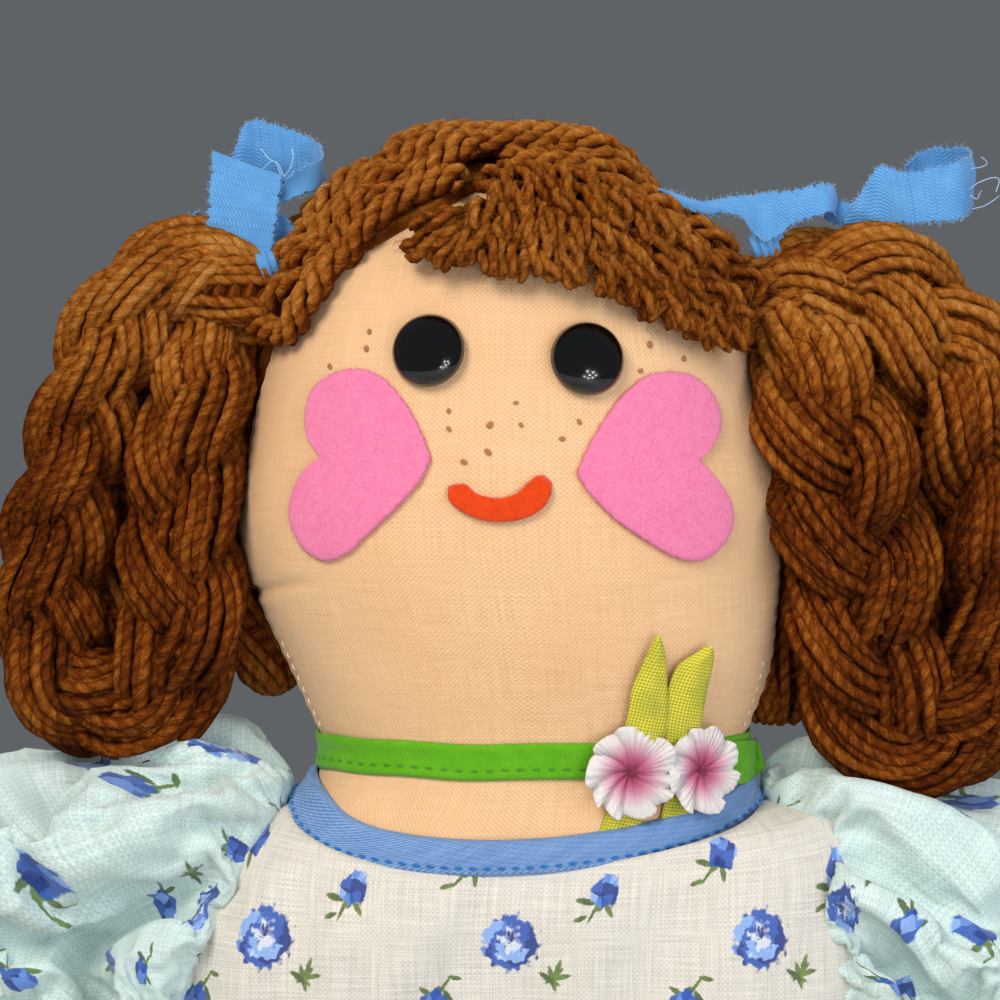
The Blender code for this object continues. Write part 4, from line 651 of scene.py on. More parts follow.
def stitchRow(name, path, normals, look, material, body):
    # short rounded stitches along a path: each is a thin bar of six rings whose ends dip into the cloth
    travelled = distances(path)
    starts = np.arange(look["gap"], travelled[-1] - look["length"], look["length"] + look["gap"])
    count, sides = len(starts), 6
    t = np.linspace(0, 1, sides)
    stops = starts[:, None] + t[None, :] * look["length"]
    centre, up = [np.stack([np.interp(stops, travelled, of[:, i]) for i in range(3)], -1) for of in (path, normals)]
    centre = centre + up * (look["radius"] * (1.6 * np.sin(math.pi * t) - 0.9))[None, :, None]
    side = np.cross(unit(np.gradient(centre, axis=1)), up)
    radius = look["radius"] * np.sqrt(np.clip(np.sin(math.pi * (t * 0.94 + 0.03)), 0, 1))[None, :, None, None]
    rings = centre[:, :, None] + radius * circle(turns(sides), side[:, :, None], up[:, :, None])
    ends = np.array([[0, 5, 4, 3], [0, 3, 2, 1], [30, 31, 32, 33], [30, 33, 34, 35]])
    faces = [copies(part, count, sides * sides) for part in (gridFaces(sides, sides, closedColumns=True), ends)]
    return put(meshPiece(name, rings.reshape(-1, 3), faces, None, material), body)


for label, side, low, high in (("left", 0.0, 0.199, 0.222), ("right", math.pi, 0.199, 0.226)):
    z = np.linspace(low, high, 60)
    where = np.full(60, -0.35 if side == 0 else math.pi + 0.30)
    path = roundForm(forms["head"], where, z, 0.0004)
    stitchRow(label + "_head_topstitching", path, formNormals(forms["head"], path),
              {"length": 0.0017, "gap": 0.0015, "radius": 0.00020}, creamThread, "doll")
print("head made")


# ---- face

eyeLook = {"radius": 0.0091, "dome": 0.0060, "rim": 0.0011, "places": {"right": (430, 352), "left": (586, 360)}}
for label, pixel in eyeLook["places"].items():
    # half an oval swung round its axis, with a narrow flat rim and a rounded edge below
    t = np.linspace(0, math.pi / 2, 22)
    radius = np.concatenate([[0.55, 0.85, 0.96, 1.0], np.cos(t)[1:-1] * 0.985]) * eyeLook["radius"]
    height = np.concatenate([[0.0, 0.0002, 0.0007, eyeLook["rim"]],
                             eyeLook["rim"] + (eyeLook["dome"] - eyeLook["rim"]) * np.sin(t)[1:-1]])
    spot = onFace(np.array(pixel, float), 0.0)
    out = unit(formNormals(forms["head"], spot) + np.array([-0.07 if label == "right" else 0.02, 0.0, 0.0]))
    side, up = axesOn(out)
    grid = spot + out * (0.0004 + height)[:, None, None] + radius[:, None, None] * circle(turns(96), side, up)
    put(closedForm(label + "_eye_button", grid, blackPlastic), "doll", [label + "_eye"])

feltLook = {"thick": 0.0015, "lift": 0.0003, "rings": 22, "round": 0.0011}
heartOutlines = {
    "right": ((431, 459), (426, 443), (413, 415), (393, 387), (373, 373), (355, 370), (337, 374), (316, 389),
              (308, 415), (311, 440), (323, 457), (306, 472), (295, 494), (292, 519), (304, 547), (327, 560),
              (350, 552), (368, 535), (393, 512), (420, 482)),
    "left": ((577, 474), (584, 455), (599, 428), (620, 398), (644, 378), (666, 373), (690, 377), (709, 393),
             (718, 421), (711, 445), (697, 461), (716, 482), (729, 506), (729, 530), (714, 553), (694, 561),
             (672, 556), (646, 541), (612, 517), (586, 490)),
}
feltEdges = []
for label, outline in heartOutlines.items():
    # rings from the middle of the shape out to its edge, where the felt turns down to the face
    outline = np.array(outline, float)
    runs = [smoothCurve(outline[:11], 90)[:-1], smoothCurve(np.vstack([outline[10:], outline[:1]]), 90)[:-1]]
    edge = np.vstack(runs)
    if label == "right":
        edge = edge[::-1]
    middle = np.array([0.62 * edge[:, 0].mean() + 0.38 * outline[10, 0], edge[:, 1].mean()])
    share = np.concatenate([np.linspace(0.04, 0.93, feltLook["rings"]), [0.965, 0.99, 1.0, 1.0, 0.985]])
    lift = np.concatenate([np.full(feltLook["rings"], 1.0), [0.95, 0.78, 0.5, 0.12, 0.0]])
    pixels = middle + (edge - middle)[None] * share[:, None, None]
    fuzz = 1 + 0.006 * ripple(np.dstack([pixels / 9, np.zeros(pixels.shape[:2])]), 1.0, 5) * share[:, None] ** 8
    pixels = middle + (pixels - middle) * fuzz[..., None]
    grid = onFace(pixels, feltLook["lift"] + feltLook["thick"] * lift[:, None])
    heart = closedForm(label + "_cheek_heart", grid[::-1], pinkFelt)
    put(heart, "doll", [label + "_cheek"])
    feltEdges.append((grid[23:26].reshape(-1, 3), unit(grid[23:26] - grid[22:25]).reshape(-1, 3), label))

# the smile: a strip between an outer and an inner curve, its ends drawn in
outer = smoothCurve(((446, 488), (451, 503), (470, 516), (495, 522), (523, 519), (544, 507), (555, 485)), 64)
inner = smoothCurve(((457, 483), (467, 485), (478, 494), (498, 498), (515, 494), (527, 484), (541, 472)), 64)
share = np.linspace(0, 1, 64)
across = np.concatenate([[0.0, 0.0, 0.03], np.linspace(0.1, 0.9, 9), [0.97, 1.0, 1.0]])
lift = np.concatenate([[0.0, 0.5, 0.85], np.full(9, 1.0), [0.85, 0.5, 0.0]])
narrowed = 0.5 + (across[:, None] - 0.5) * np.clip(np.sin(math.pi * (share * 0.94 + 0.03)) * 3.4, 0, 1)[None, :] ** 0.5
pixels = outer[None] * (1 - narrowed[..., None]) + inner[None] * narrowed[..., None]
ends = np.minimum(1, np.minimum(share, 1 - share) * 22 + 0.1)
grid = onFace(pixels, feltLook["lift"] + feltLook["thick"] * lift[:, None] * ends[None, :])
ring = np.concatenate([grid, onFace(pixels[1:-1][::-1], feltLook["lift"] * np.ones((13, 64)))]).transpose(1, 0, 2)
put(closedForm("mouth_felt", ring, redFelt), "doll", ["mouth"])

freckles = {"radius": 0.00074, "places": (
    (370, 332), (367, 349), (331, 367), (449, 411), (449, 429), (490, 425), (516, 403), (521, 425), (488, 452),
    (464, 462), (579, 422), (562, 439), (649, 345), (683, 359), (640, 371))}
freckleInk = threadMaterial("brown fabric ink", "a9734a")
spots = onFace(np.array(freckles["places"], float))
out = formNormals(forms["head"], spots)
side, up = axesOn(out)
a = turns(12)
sizes = freckles["radius"] * chance.uniform(0.75, 1.15, len(spots))[:, None, None]
wobbly = 1 + 0.18 * np.sin(a * 2 + chance.uniform(0, turn, (len(spots), 1)))
discs = [spots[:, None] + rise * out[:, None] + sizes * scale * wobbly[..., None] * circle(
    a, side[:, None], up[:, None]) for rise, scale in ((-0.0002, 1.0), (0.00042, 1.0), (0.00050, 0.6))]
points = np.stack(discs, 1).reshape(-1, 3)
put(meshPiece("freckles", points, tubeFaces(len(spots), 3, 12), None, freckleInk), "doll")
print("face made")


def fuzzRun(name, roots, outward, length, shade, thick=0.00006, material=yarn):
    # loose fibres: three-sided hairs that leave the yarn slantwise and curl away at random
    count = len(roots)
    t = np.linspace(0, 1, 3)[None, :, None]
    lean = unit(outward + 0.9 * unit(chance.normal(size=(count, 3))))
    curl = unit(chance.normal(size=(count, 3)))
    reach = chance.uniform(0.35, 1.0, (count, 1, 1)) ** 1.5 * length
    paths = roots[:, None] + reach * (lean[:, None] * t + 0.8 * curl[:, None] * t ** 2 - 0.45 * lean[:, None] * t ** 3)
    _, side, up = axesAlong(paths, curl[:, None] + 0.01)
    width = thick * np.array([1.0, 0.85, 0.3])[None, :, None, None]
    rings = paths[:, :, None] + width * circle(turns(3), side[:, :, None], up[:, :, None])
    return meshPiece(name, rings.reshape(-1, 3), tubeFaces(count, 3, 3), None, material,
                     {"shade": np.full((count, 9), shade)})


for roots, ways, label in feltEdges:
    fibres = fuzzRun(label + "_heart_fibres", np.tile(roots, (3, 1)), np.tile(ways, (3, 1)), 0.0013, 0.0, 0.00003,
                     pinkFelt)
    put(fibres, "doll")


# ---- cloth shells and ribbons

def gridNormals(grid, closedColumns=False):
    down = np.gradient(grid, axis=0)
    if closedColumns:
        across = (np.roll(grid, -1, axis=1) - np.roll(grid, 1, axis=1)) / 2
    else:
        across = np.gradient(grid, axis=1)
    return unit(np.cross(across, down))


def lengthUv(grid, origin=0, closedColumns=False):  # real lengths along each row and down the columns, in metres
    if closedColumns:
        grid = np.concatenate([grid, grid[:, :1]], 1)
    u = distances(grid)
    return pairs(u - u[:, origin:origin + 1], downLengths(grid)[:, None])


def clothShell(name, grid, thickness, material, uv=None, closedColumns=False, outwards=1.0, marks=None):
    # cloth of a given thickness: the outer face is the grid, the inner one the same grid moved in along its
    # normals, and strips close its edges
    rows, columns = grid.shape[:2]
    total = rows * columns
    inner = grid - gridNormals(grid, closedColumns) * outwards * thickness
    uv = lengthUv(grid, 0, closedColumns) if uv is None else uv
    top, bottom = np.arange(columns), np.arange(columns)[::-1] + (rows - 1) * columns
    borders = [top, bottom] if closedColumns else [np.concatenate([
        top, np.arange(1, rows) * columns + columns - 1, bottom[1:], np.arange(1, rows - 1)[::-1] * columns])]
    strips = np.concatenate([
        np.stack([np.roll(edge, -1), edge, edge + total, np.roll(edge, -1) + total], 1) for edge in borders])
    outer = gridFaces(rows, columns, closedColumns=closedColumns)
    faces = [outer, outer[:, ::-1] + total, strips]
    stripUv = uv[:, :columns].reshape(-1, 2)[strips % total].reshape(-1, 2)
    uvs = [cornerUvs(uv), turnedUvs(cornerUvs(uv)), stripUv]
    if outwards < 0:
        faces, uvs = [f[:, ::-1] for f in faces], [turnedUvs(part) for part in uvs]
    marks = {label: np.tile(values.ravel(), 2) for label, values in (marks or {}).items()}
    return meshPiece(name, np.vstack([grid.reshape(-1, 3), inner.reshape(-1, 3)]), faces, np.vstack(uvs), material,
                     marks)


def hoop(name, grid, material, flipped=False):  # a band whose section closes on itself, carried once round
    faces = gridFaces(*grid.shape[:2], closedRows=True, closedColumns=True)
    uv = cornerUvs(lengthUv(np.concatenate([grid, grid[:1]]), 0, True))
    if flipped:
        faces, uv = faces[:, ::-1], turnedUvs(uv)
    return meshPiece(name, grid.reshape(-1, 3), faces, uv, material)


def shownArea(grid, closedColumns=False):  # the area of a grid, in square metres
    if closedColumns:
        grid = np.concatenate([grid, grid[:, :1]], 1)
    a, b, c, d = grid[:-1, :-1], grid[:-1, 1:], grid[1:, 1:], grid[1:, :-1]
    halves = np.linalg.norm(np.cross(b - a, c - a), axis=-1) + np.linalg.norm(np.cross(c - a, d - a), axis=-1)
    return float(halves.sum() / 2)


# ---- neck band and neckline binding

def bodySurface(angles, z, lift):  # round the neck: the head's surface above the seam and the torso's below it
    upper = roundForm(forms["head"], angles, np.maximum(z, forms["head"]["base"]), lift)
    lower = roundForm(forms["torso"], angles, np.minimum(z, torsoTop), lift)
    return np.where((z >= forms["head"]["base"])[..., None], upper, lower)


neckline = {"front": 0.1738, "side": 0.1874, "back": 0.1830, "skew": 0.16}


def necklineHeight(angles):
    front = np.clip(-np.sin(angles + neckline["skew"] * np.clip(-np.sin(angles), 0, 1)), 0, 1) ** 1.6
    back = np.clip(np.sin(angles), 0, 1) ** 1.6
    return neckline["side"] - (neckline["side"] - neckline["front"]) * front - (
        neckline["side"] - neckline["back"]) * back


def tapeRound(name, middle, look, material):
    # a flat folded tape round the neck: its section is a thin rounded bar carried round at the given heights
    s = np.linspace(-1, 1, 17)
    outer = look["lift"] + look["thickness"] * (1 - 0.75 * np.abs(s) ** 10)
    rows = [bodySurface(angles, middle + k * look["width"] / 2, outer[i]) for i, k in enumerate(s)]
    inside = [bodySurface(angles, middle + k * look["width"] / 2, look["lift"]) for k in s[::-2]]
    return hoop(name, np.array(rows + inside), material)


bandLook = {"middle": 0.1973, "width": 0.0092, "lift": 0.0003, "thickness": 0.0012}
angles = turns(240)
uneven = 0.00022 * np.sin(angles * 5 + 1) + 0.00016 * np.sin(angles * 11)
band = tapeRound("neck_band_tape", bandLook["middle"] + uneven, bandLook, greenTape)
put(band, "doll", ["neck_band"])
path = bodySurface(angles, bandLook["middle"] - bandLook["width"] * 0.19 + uneven,
                   bandLook["lift"] + bandLook["thickness"])
stitchRow("neck_band_stitching", path, formNormals(forms["head"], path),
          {"length": 0.0026, "gap": 0.0012, "radius": 0.00030}, greenThread, "doll")
# the tape's end, turned under and cut slanting, lies on top of it beside the flowers
t = np.linspace(0, 1, 20)[:, None]
right = np.interp(t, [0, 0.62, 1], [749, 757, 738])
across = np.linspace(0, 1, 16)
pixels = pairs(716 + (right - 716) * across, 741 + 46 * t - 3 * across)
onBand = bandLook["lift"] + bandLook["thickness"]
tab = clothShell("neck_band_end", onFace(pixels, onBand + 0.0007), 0.0007, greenTape)
put(tab, "doll", ["neck_band"])
bindingLook = {"width": 0.0088, "lift": 0.0003, "thickness": 0.0021}
middle = necklineHeight(angles) + 0.0001 * np.sin(angles * 9)
binding = tapeRound("neckline_binding", middle, bindingLook, blueTwill)
put(binding, "doll", ["neck_binding"])
path = bodySurface(angles, middle - bindingLook["width"] * 0.30, bindingLook["lift"] + bindingLook["thickness"])
stitchRow("neckline_stitching", path, formNormals(forms["torso"], path),
          {"length": 0.0026, "gap": 0.0009, "radius": 0.00042}, blueThread, "doll")

# ---- ribbon leaves and flowers

leafRibbon, tree, shader = startMaterial("woven ribbon, leaf green", {"Roughness": 0.5, "Sheen Weight": 0.2,
                                                                      "Specular IOR Level": 0.4})
# taffeta ribbon shot with yellow and green threads, crossing every 0.6 mm on the bias
uv = addNode(tree, "Mapping", {"Vector": addNode(tree, "UVMap"), "Rotation": (0, 0, 0.7)})
threads = weave(tree, uv.outputs[0], 0.0006, 0.15)
dull = noise(tree, objectPlace(tree), 160.0)
shot = mixed(tree, ranged(tree, threads, -0.3, 0.7), "98930a", "fbf04e")
shot = mixed(tree, ranged(tree, dull, 0.4, 0.75, 0.0, 0.5), shot, "8a9a2a")
tree.links.new(shot, shader.inputs["Base Color"])
bump(tree, shader, threads, 0.00012)

leaves = {
    # pixels of the photograph down the middle of each ribbon leaf, with half its width in millimetres
    "right": ((654, 634, 0.3), (653, 650, 1.7), (650, 668, 3.0), (647, 690, 4.1), (645, 715, 4.6), (641, 740, 4.7),
              (635, 770, 4.6), (628, 800, 4.6), (617, 836, 4.6), (612, 853, 4.5)),
    "left": ((704, 645, 0.3), (697, 655, 2.4), (689, 667, 3.9), (683, 690, 4.4), (679, 720, 4.5), (678, 745, 4.3),
             (677, 775, 4.0), (675, 805, 3.6), (671, 835, 3.4)),
}
for label, points in leaves.items():
    rows = smoothCurve(points, 56)
    across = np.linspace(-1, 1, 11)
    halfPixels = rows[:, None, 2:3] / (cameraAt["perPixel"] * 960)
    pixels = rows[:, None, :2] + across[None, :, None] * halfPixels * np.array([1, 0.08])
    fold = 0.0010 * (1 - np.abs(across)) + 0.0003 * np.sin(across * 2.2)
    lean = 0.0012 * bell(np.linspace(0, 1, 56), 0.25)
    tucked = softStep((rows[:, 1] - 800) / 30)[:, None]  # the lower end goes flat under the binding
    standing = onBand + 0.0004 - 0.0014 * tucked + fold[None, :] * (1 - 0.7 * tucked)
    grid = onFace(pixels, standing + lean[:, None])
    x, z = grid[..., 0], grid[..., 2]
    below = frontOf(forms["torso"], x, np.minimum(z, torsoTop), standing)
    grid = np.where((z < forms["head"]["base"])[..., None], below, grid)
    neckFront = frontOf(forms["torso"], x, np.full(x.shape, torsoTop), standing)[..., 1]
    grid[..., 1] = np.where((z < 0.1973) & (z > 0.185), np.minimum(grid[..., 1], neckFront), grid[..., 1])
    leaf = clothShell(label + "_ribbon_leaf", grid, 0.0004, leafRibbon)
    put(leaf, "doll", [label + "_leaf"])

flowerRibbon, tree, shader = startMaterial("woven ribbon, shaded pink", {"Roughness": 0.42, "Sheen Weight": 0.25,
                                                                         "Specular IOR Level": 0.45})
# shaded taffeta ribbon: deep pink along the gathered edge, fading to white at the selvedge, with a fine crosswise rib
uv = addNode(tree, "UVMap").outputs[0]
parts = addNode(tree, "SeparateXYZ", {0: uv})
fade = addNode(tree, "Attribute", attribute_name="fromMiddle").outputs["Fac"]
shades = colourSteps(tree, fade, ((0.0, "8e1740"), (0.13, "dd3f7b"), (0.34, "f07aa8"), (0.56, "fac6d8"), (0.78, "fcf5f3")))
ribs = calc(tree, "SINE", calc(tree, "MULTIPLY", parts.outputs[0], turn / 0.0009))
cross = calc(tree, "SINE", calc(tree, "MULTIPLY", parts.outputs[1], turn / 0.0009))
ribs = calc(tree, "MULTIPLY", ribs, cross)
darker = ranged(tree, ribs, -1.0, 1.0, 0.74, 1.08)
shaded = vector(tree, "MULTIPLY", shades, addNode(tree, "CombineXYZ", {0: darker, 1: darker, 2: darker}))
tree.links.new(shaded.outputs[0], shader.inputs["Base Color"])
bump(tree, shader, ribs, 0.00010)

flowers = {
    "right": {"pixel": (628, 773), "radius": 0.0112, "pleats": 9, "cup": 0.0030, "seed": 5, "squeeze": 1.0, "lift": 0.0034},
    "left": {"pixel": (692, 770), "radius": 0.0106, "pleats": 8, "cup": 0.0030, "seed": 9, "squeeze": 0.90,
             "lift": 0.0046},
}
for label, flower in flowers.items():
    # a strip of ribbon gathered along one edge: out from the middle the ring widens in rounded pleats, each
    # leaning over the next, and the selvedge turns back a little
    waves = np.random.default_rng(flower["seed"])
    spot = onFace(np.array(flower["pixel"], float), flower["lift"])
    out = unit(formNormals(forms["head"], spot) + np.array([0.0, -0.25, 0.0]))
    side, up = axesOn(out)
    a = turns(210)
    share = np.linspace(0.06, 1, 34)[:, None]
    petalEnds = np.cumsum(waves.uniform(0.55, 1.45, flower["pleats"]))
    petalEnds = np.concatenate([[0.0], petalEnds / petalEnds[-1]]) * turn
    bends = (a + 0.5 * (1 - share) + 0.10 * np.sin(a * 3 + waves.uniform(0, turn))) % turn
    which = np.clip(np.searchsorted(petalEnds, bends, side="right") - 1, 0, flower["pleats"] - 1)
    within = (bends - petalEnds[which]) / (petalEnds[which + 1] - petalEnds[which])
    petal = np.sin(math.pi * within ** 1.5) ** 0.7  # round over each petal, sharp where one tucks under the next
    higher = waves.uniform(-1, 1, flower["pleats"])[which] * np.sin(math.pi * within)
    reach = flower["radius"] * share * (1 + 0.13 * share * (petal - 0.6) + 0.03 * share * higher)
    height = flower["cup"] * (share ** 1.3 - 0.5 * share ** 4)
    height = height + 0.0030 * share ** 0.7 * (petal - 0.55) * (1 - 0.25 * share)
    height = height + 0.0009 * higher * share + 0.0003 * np.sin(a * 17 + waves.uniform(0, turn)) * share ** 3
    height = height + 0.00028 * np.sin(a * 43 + 3 * np.sin(a * 4 + waves.uniform(0, turn))) * share ** 0.6
    turned = a + 0.10 * (petal - 0.5) * share
    grid = spot + reach[..., None] * circle(turned, side * flower["squeeze"], up) + height[..., None] * out
    uv = pairs(np.linspace(0, 1, 211) * 0.15, share * 0.011)
    petals = clothShell(label + "_ribbon_flower", grid, 0.0003, flowerRibbon, uv, closedColumns=True, outwards=-1.0,
                        marks={"fromMiddle": np.broadcast_to(share, (34, 210))})
    put(petals, "doll", [label + "_flower"])
    t = np.linspace(0.2, math.pi / 2, 6)[:, None, None]
    ring = spot + 0.0011 * (np.cos(t) * circle(a[::10], side, up) + np.sin(t) * 1.2 * out)
    knot = closedForm(label + "_flower_knot", np.concatenate([ring[:1] - out * 0.002, ring[:-1]]), flowerRibbon)
    put(knot, "doll")
print("neck trimmings made")

# ---- dress

dress = {"waist": 0.098, "stand": 0.0016, "thickness": 0.0005, "around": 320, "rows": 66, "flat": (0.42, 0.100),
         # how far the cloth stands off the body at its sides, by height
         "bulges": {"right": ((0.098, 0.0), (0.112, 0.011), (0.132, 0.0225), (0.150, 0.020), (0.162, 0.0135),
                              (0.172, 0.0075), (0.181, 0.002), (0.184, 0.0)),
                    "left": ((0.098, 0.0), (0.112, 0.011), (0.132, 0.0225), (0.150, 0.023), (0.166, 0.020), (0.1755, 0.0165),
                             (0.1815, 0.004), (0.184, 0.0))},
         "armhole": {"height": 0.151, "halfHeight": 0.032, "halfDepth": 0.026}}


def bulgeAt(label, z):
    return np.interp(z, *np.array(dress["bulges"][label]).T)


angles = turns(dress["around"])
low, high = dress["waist"] - 0.0005, necklineHeight(angles) - bindingLook["width"] / 2 + 0.0012
t = np.linspace(0, 1, dress["rows"])[:, None]
z = low + (high - low) * t
base = roundForm(forms["torso"], angles[None, :], z, dress["stand"] * np.minimum(1, 0.25 + 6 * (1 - t)))
lift = np.where(np.cos(angles) > 0, bulgeAt("left", z), bulgeAt("right", z)) * np.cos(angles) ** 2
lift = lift * (1 - 0.6 * softStep(np.sin(angles) * 2))
lift += 0.0010 * np.sin(angles * 22 + 2 * np.sin(angles * 5))[None, :] * bell(z - low, 0.018)
ease = np.minimum(1, t * 4) * np.minimum(1, (1 - t) * 5)
lift += (0.0019 * ripple(base * np.array([1.0, 1.0, 0.45]), 0.030, 21) + 0.0018) * ease
bodiceGrid = base + formNormals(forms["torso"], base) * lift[..., None]
# the front panel's print is laid out from the middle of the front and the back's from the middle of the back
uv = lengthUv(bodiceGrid, dress["around"] * 3 // 4, True)
behind = dress["around"] // 4
back = uv[..., 0] - uv[:, behind:behind + 1, 0]
back = back - (back[:, 2 * behind] - uv[:, 2 * behind, 0]).mean()
front = softStep((np.arange(dress["around"] + 1) - 148) / 24)
uv[..., 0] = uv[..., 0] * front + back * (1 - front)
uv[..., 1] = 0.155 - np.concatenate([z, z[:, :1]], 1)
bodice = clothShell("bodice_cloth", bodiceGrid, dress["thickness"], bodiceVoile, uv, closedColumns=True)
put(bodice, "doll", ["bodice"])


armLook = {"spread": math.radians(40), "start": 0.0717, "height": 0.150, "straight": 0.0075, "bend": 0.010}


def armPath(count, length=0.150):  # out of the shoulder seat, a round bend, then straight down and out
    along = np.array([math.sin(armLook["spread"]), -math.cos(armLook["spread"])])
    seatX = armLook["start"] - armLook["straight"]
    start = np.array([seatX + armLook["straight"], armLook["height"]])
    corner = np.array([seatX + armLook["straight"] + armLook["bend"], armLook["height"]])
    d = np.linspace(0, length, count)
    t = (d - armLook["straight"]) / 0.020
    end = corner + along * armLook["bend"]
    straightIn = np.array([seatX, armLook["height"]]) + np.stack([d, 0 * d], 1)
    bend = (1 - t)[:, None] ** 2 * start + 2 * (t * (1 - t))[:, None] * corner + t[:, None] ** 2 * end
    straightOut = corner + along * (d - 0.0175)[:, None]
    return np.where((t < 0)[:, None], straightIn, np.where((t < 1)[:, None], bend, straightOut))


def finer(grid, closedColumns=True):  # twice as many rows and columns, on smooth curves through the points
    def between(a, b, c, d):
        return (9 * (b + c) - a - d) / 16

    padded = withEnds(grid)
    rows = np.empty((len(grid) * 2 - 1, *grid.shape[1:]))
    rows[::2] = grid
    rows[1::2] = between(padded[:-3], padded[1:-2], padded[2:-1], padded[3:])
    columns = np.empty((len(rows), grid.shape[1] * 2, 3))
    columns[:, ::2] = rows
    columns[:, 1::2] = between(np.roll(rows, 1, 1), rows, np.roll(rows, -1, 1), np.roll(rows, -2, 1))
    return columns


def settleCloth(name, grid, held, look):
    # Blender's cloth: the held points stay, and the rest has more cloth than room and is blown out a little, so it
    # buckles into folds of its own
    rows, columns = grid.shape[:2]
    piece = meshPiece(name, grid.reshape(-1, 3), gridFaces(rows, columns, closedColumns=True))
    group = piece.vertex_groups.new(name="held")
    group.add([int(i) for i in np.flatnonzero(held.ravel())], 1.0, "REPLACE")
    modifier = piece.modifiers.new("cloth", "CLOTH")
    settings = modifier.settings
    settings.quality, settings.mass, settings.air_damping = 6, look["mass"], 3.0
    settings.tension_stiffness = settings.compression_stiffness = look["stiffness"]
    settings.shear_stiffness, settings.bending_stiffness = look["shear"], look["bending"]
    settings.shrink_min = -look["spare"]
    settings.use_pressure, settings.uniform_pressure_force = True, look["pressure"]
    settings.effector_weights.gravity = look["gravity"]
    settings.vertex_group_mass = "held"
    modifier.collision_settings.use_collision = False
    modifier.collision_settings.use_self_collision = True
    modifier.collision_settings.self_distance_min = look["apart"]
    modifier.point_cache.frame_end = look["frames"]
    for moment in range(1, look["frames"] + 1):
        bpy.context.scene.frame_set(moment)
    shaped = piece.evaluated_get(bpy.context.evaluated_depsgraph_get()).data
    points = np.empty(rows * columns * 3, np.float32)
    shaped.vertices.foreach_get("co", points)
    bpy.context.scene.frame_set(1)
    bpy.data.objects.remove(piece)
    moved = points.reshape(grid.shape).astype(float) - grid
    far = np.linalg.norm(moved, axis=-1, keepdims=True)
    return grid + moved * np.minimum(1, look["most"] / np.maximum(far, 1e-9))


sleeveLook = {
    "around": 132, "rows": 50, "length": 0.070, "frill": 0.0075, "cuff": 0.0205, "thickness": 0.0005, "gathers": 16,
    "flat": (0.42, 0.125),
    "cloth": {"mass": 0.02, "stiffness": 9.0, "shear": 4.0, "bending": 0.25, "spare": 0.32, "pressure": 0.25,
              "gravity": 0.4, "apart": 0.0010, "frames": 20, "most": 0.016},
    # deep folds: angle up from the front, place along the sleeve, length and depth
    "right": {"rise": 0.017, "behind": 0.012, "puff": 0.019, "seed": 31, "folds": (
        (0.35, 0.30, 0.20, 0.012), (0.05, 0.55, 0.22, 0.016), (-0.85, 0.50, 0.30, 0.009), (1.05, 0.45, 0.30, 0.008),
        (2.6, 0.5, 0.35, 0.009))},
    "left": {"rise": 0.008, "behind": 0.009, "puff": 0.018, "seed": 37, "folds": (
        (0.55, 0.20, 0.18, 0.010), (0.10, 0.36, 0.22, 0.014), (-0.75, 0.50, 0.30, 0.012), (0.95, 0.60, 0.30, 0.009),
        (2.6, 0.5, 0.35, 0.009))},
}
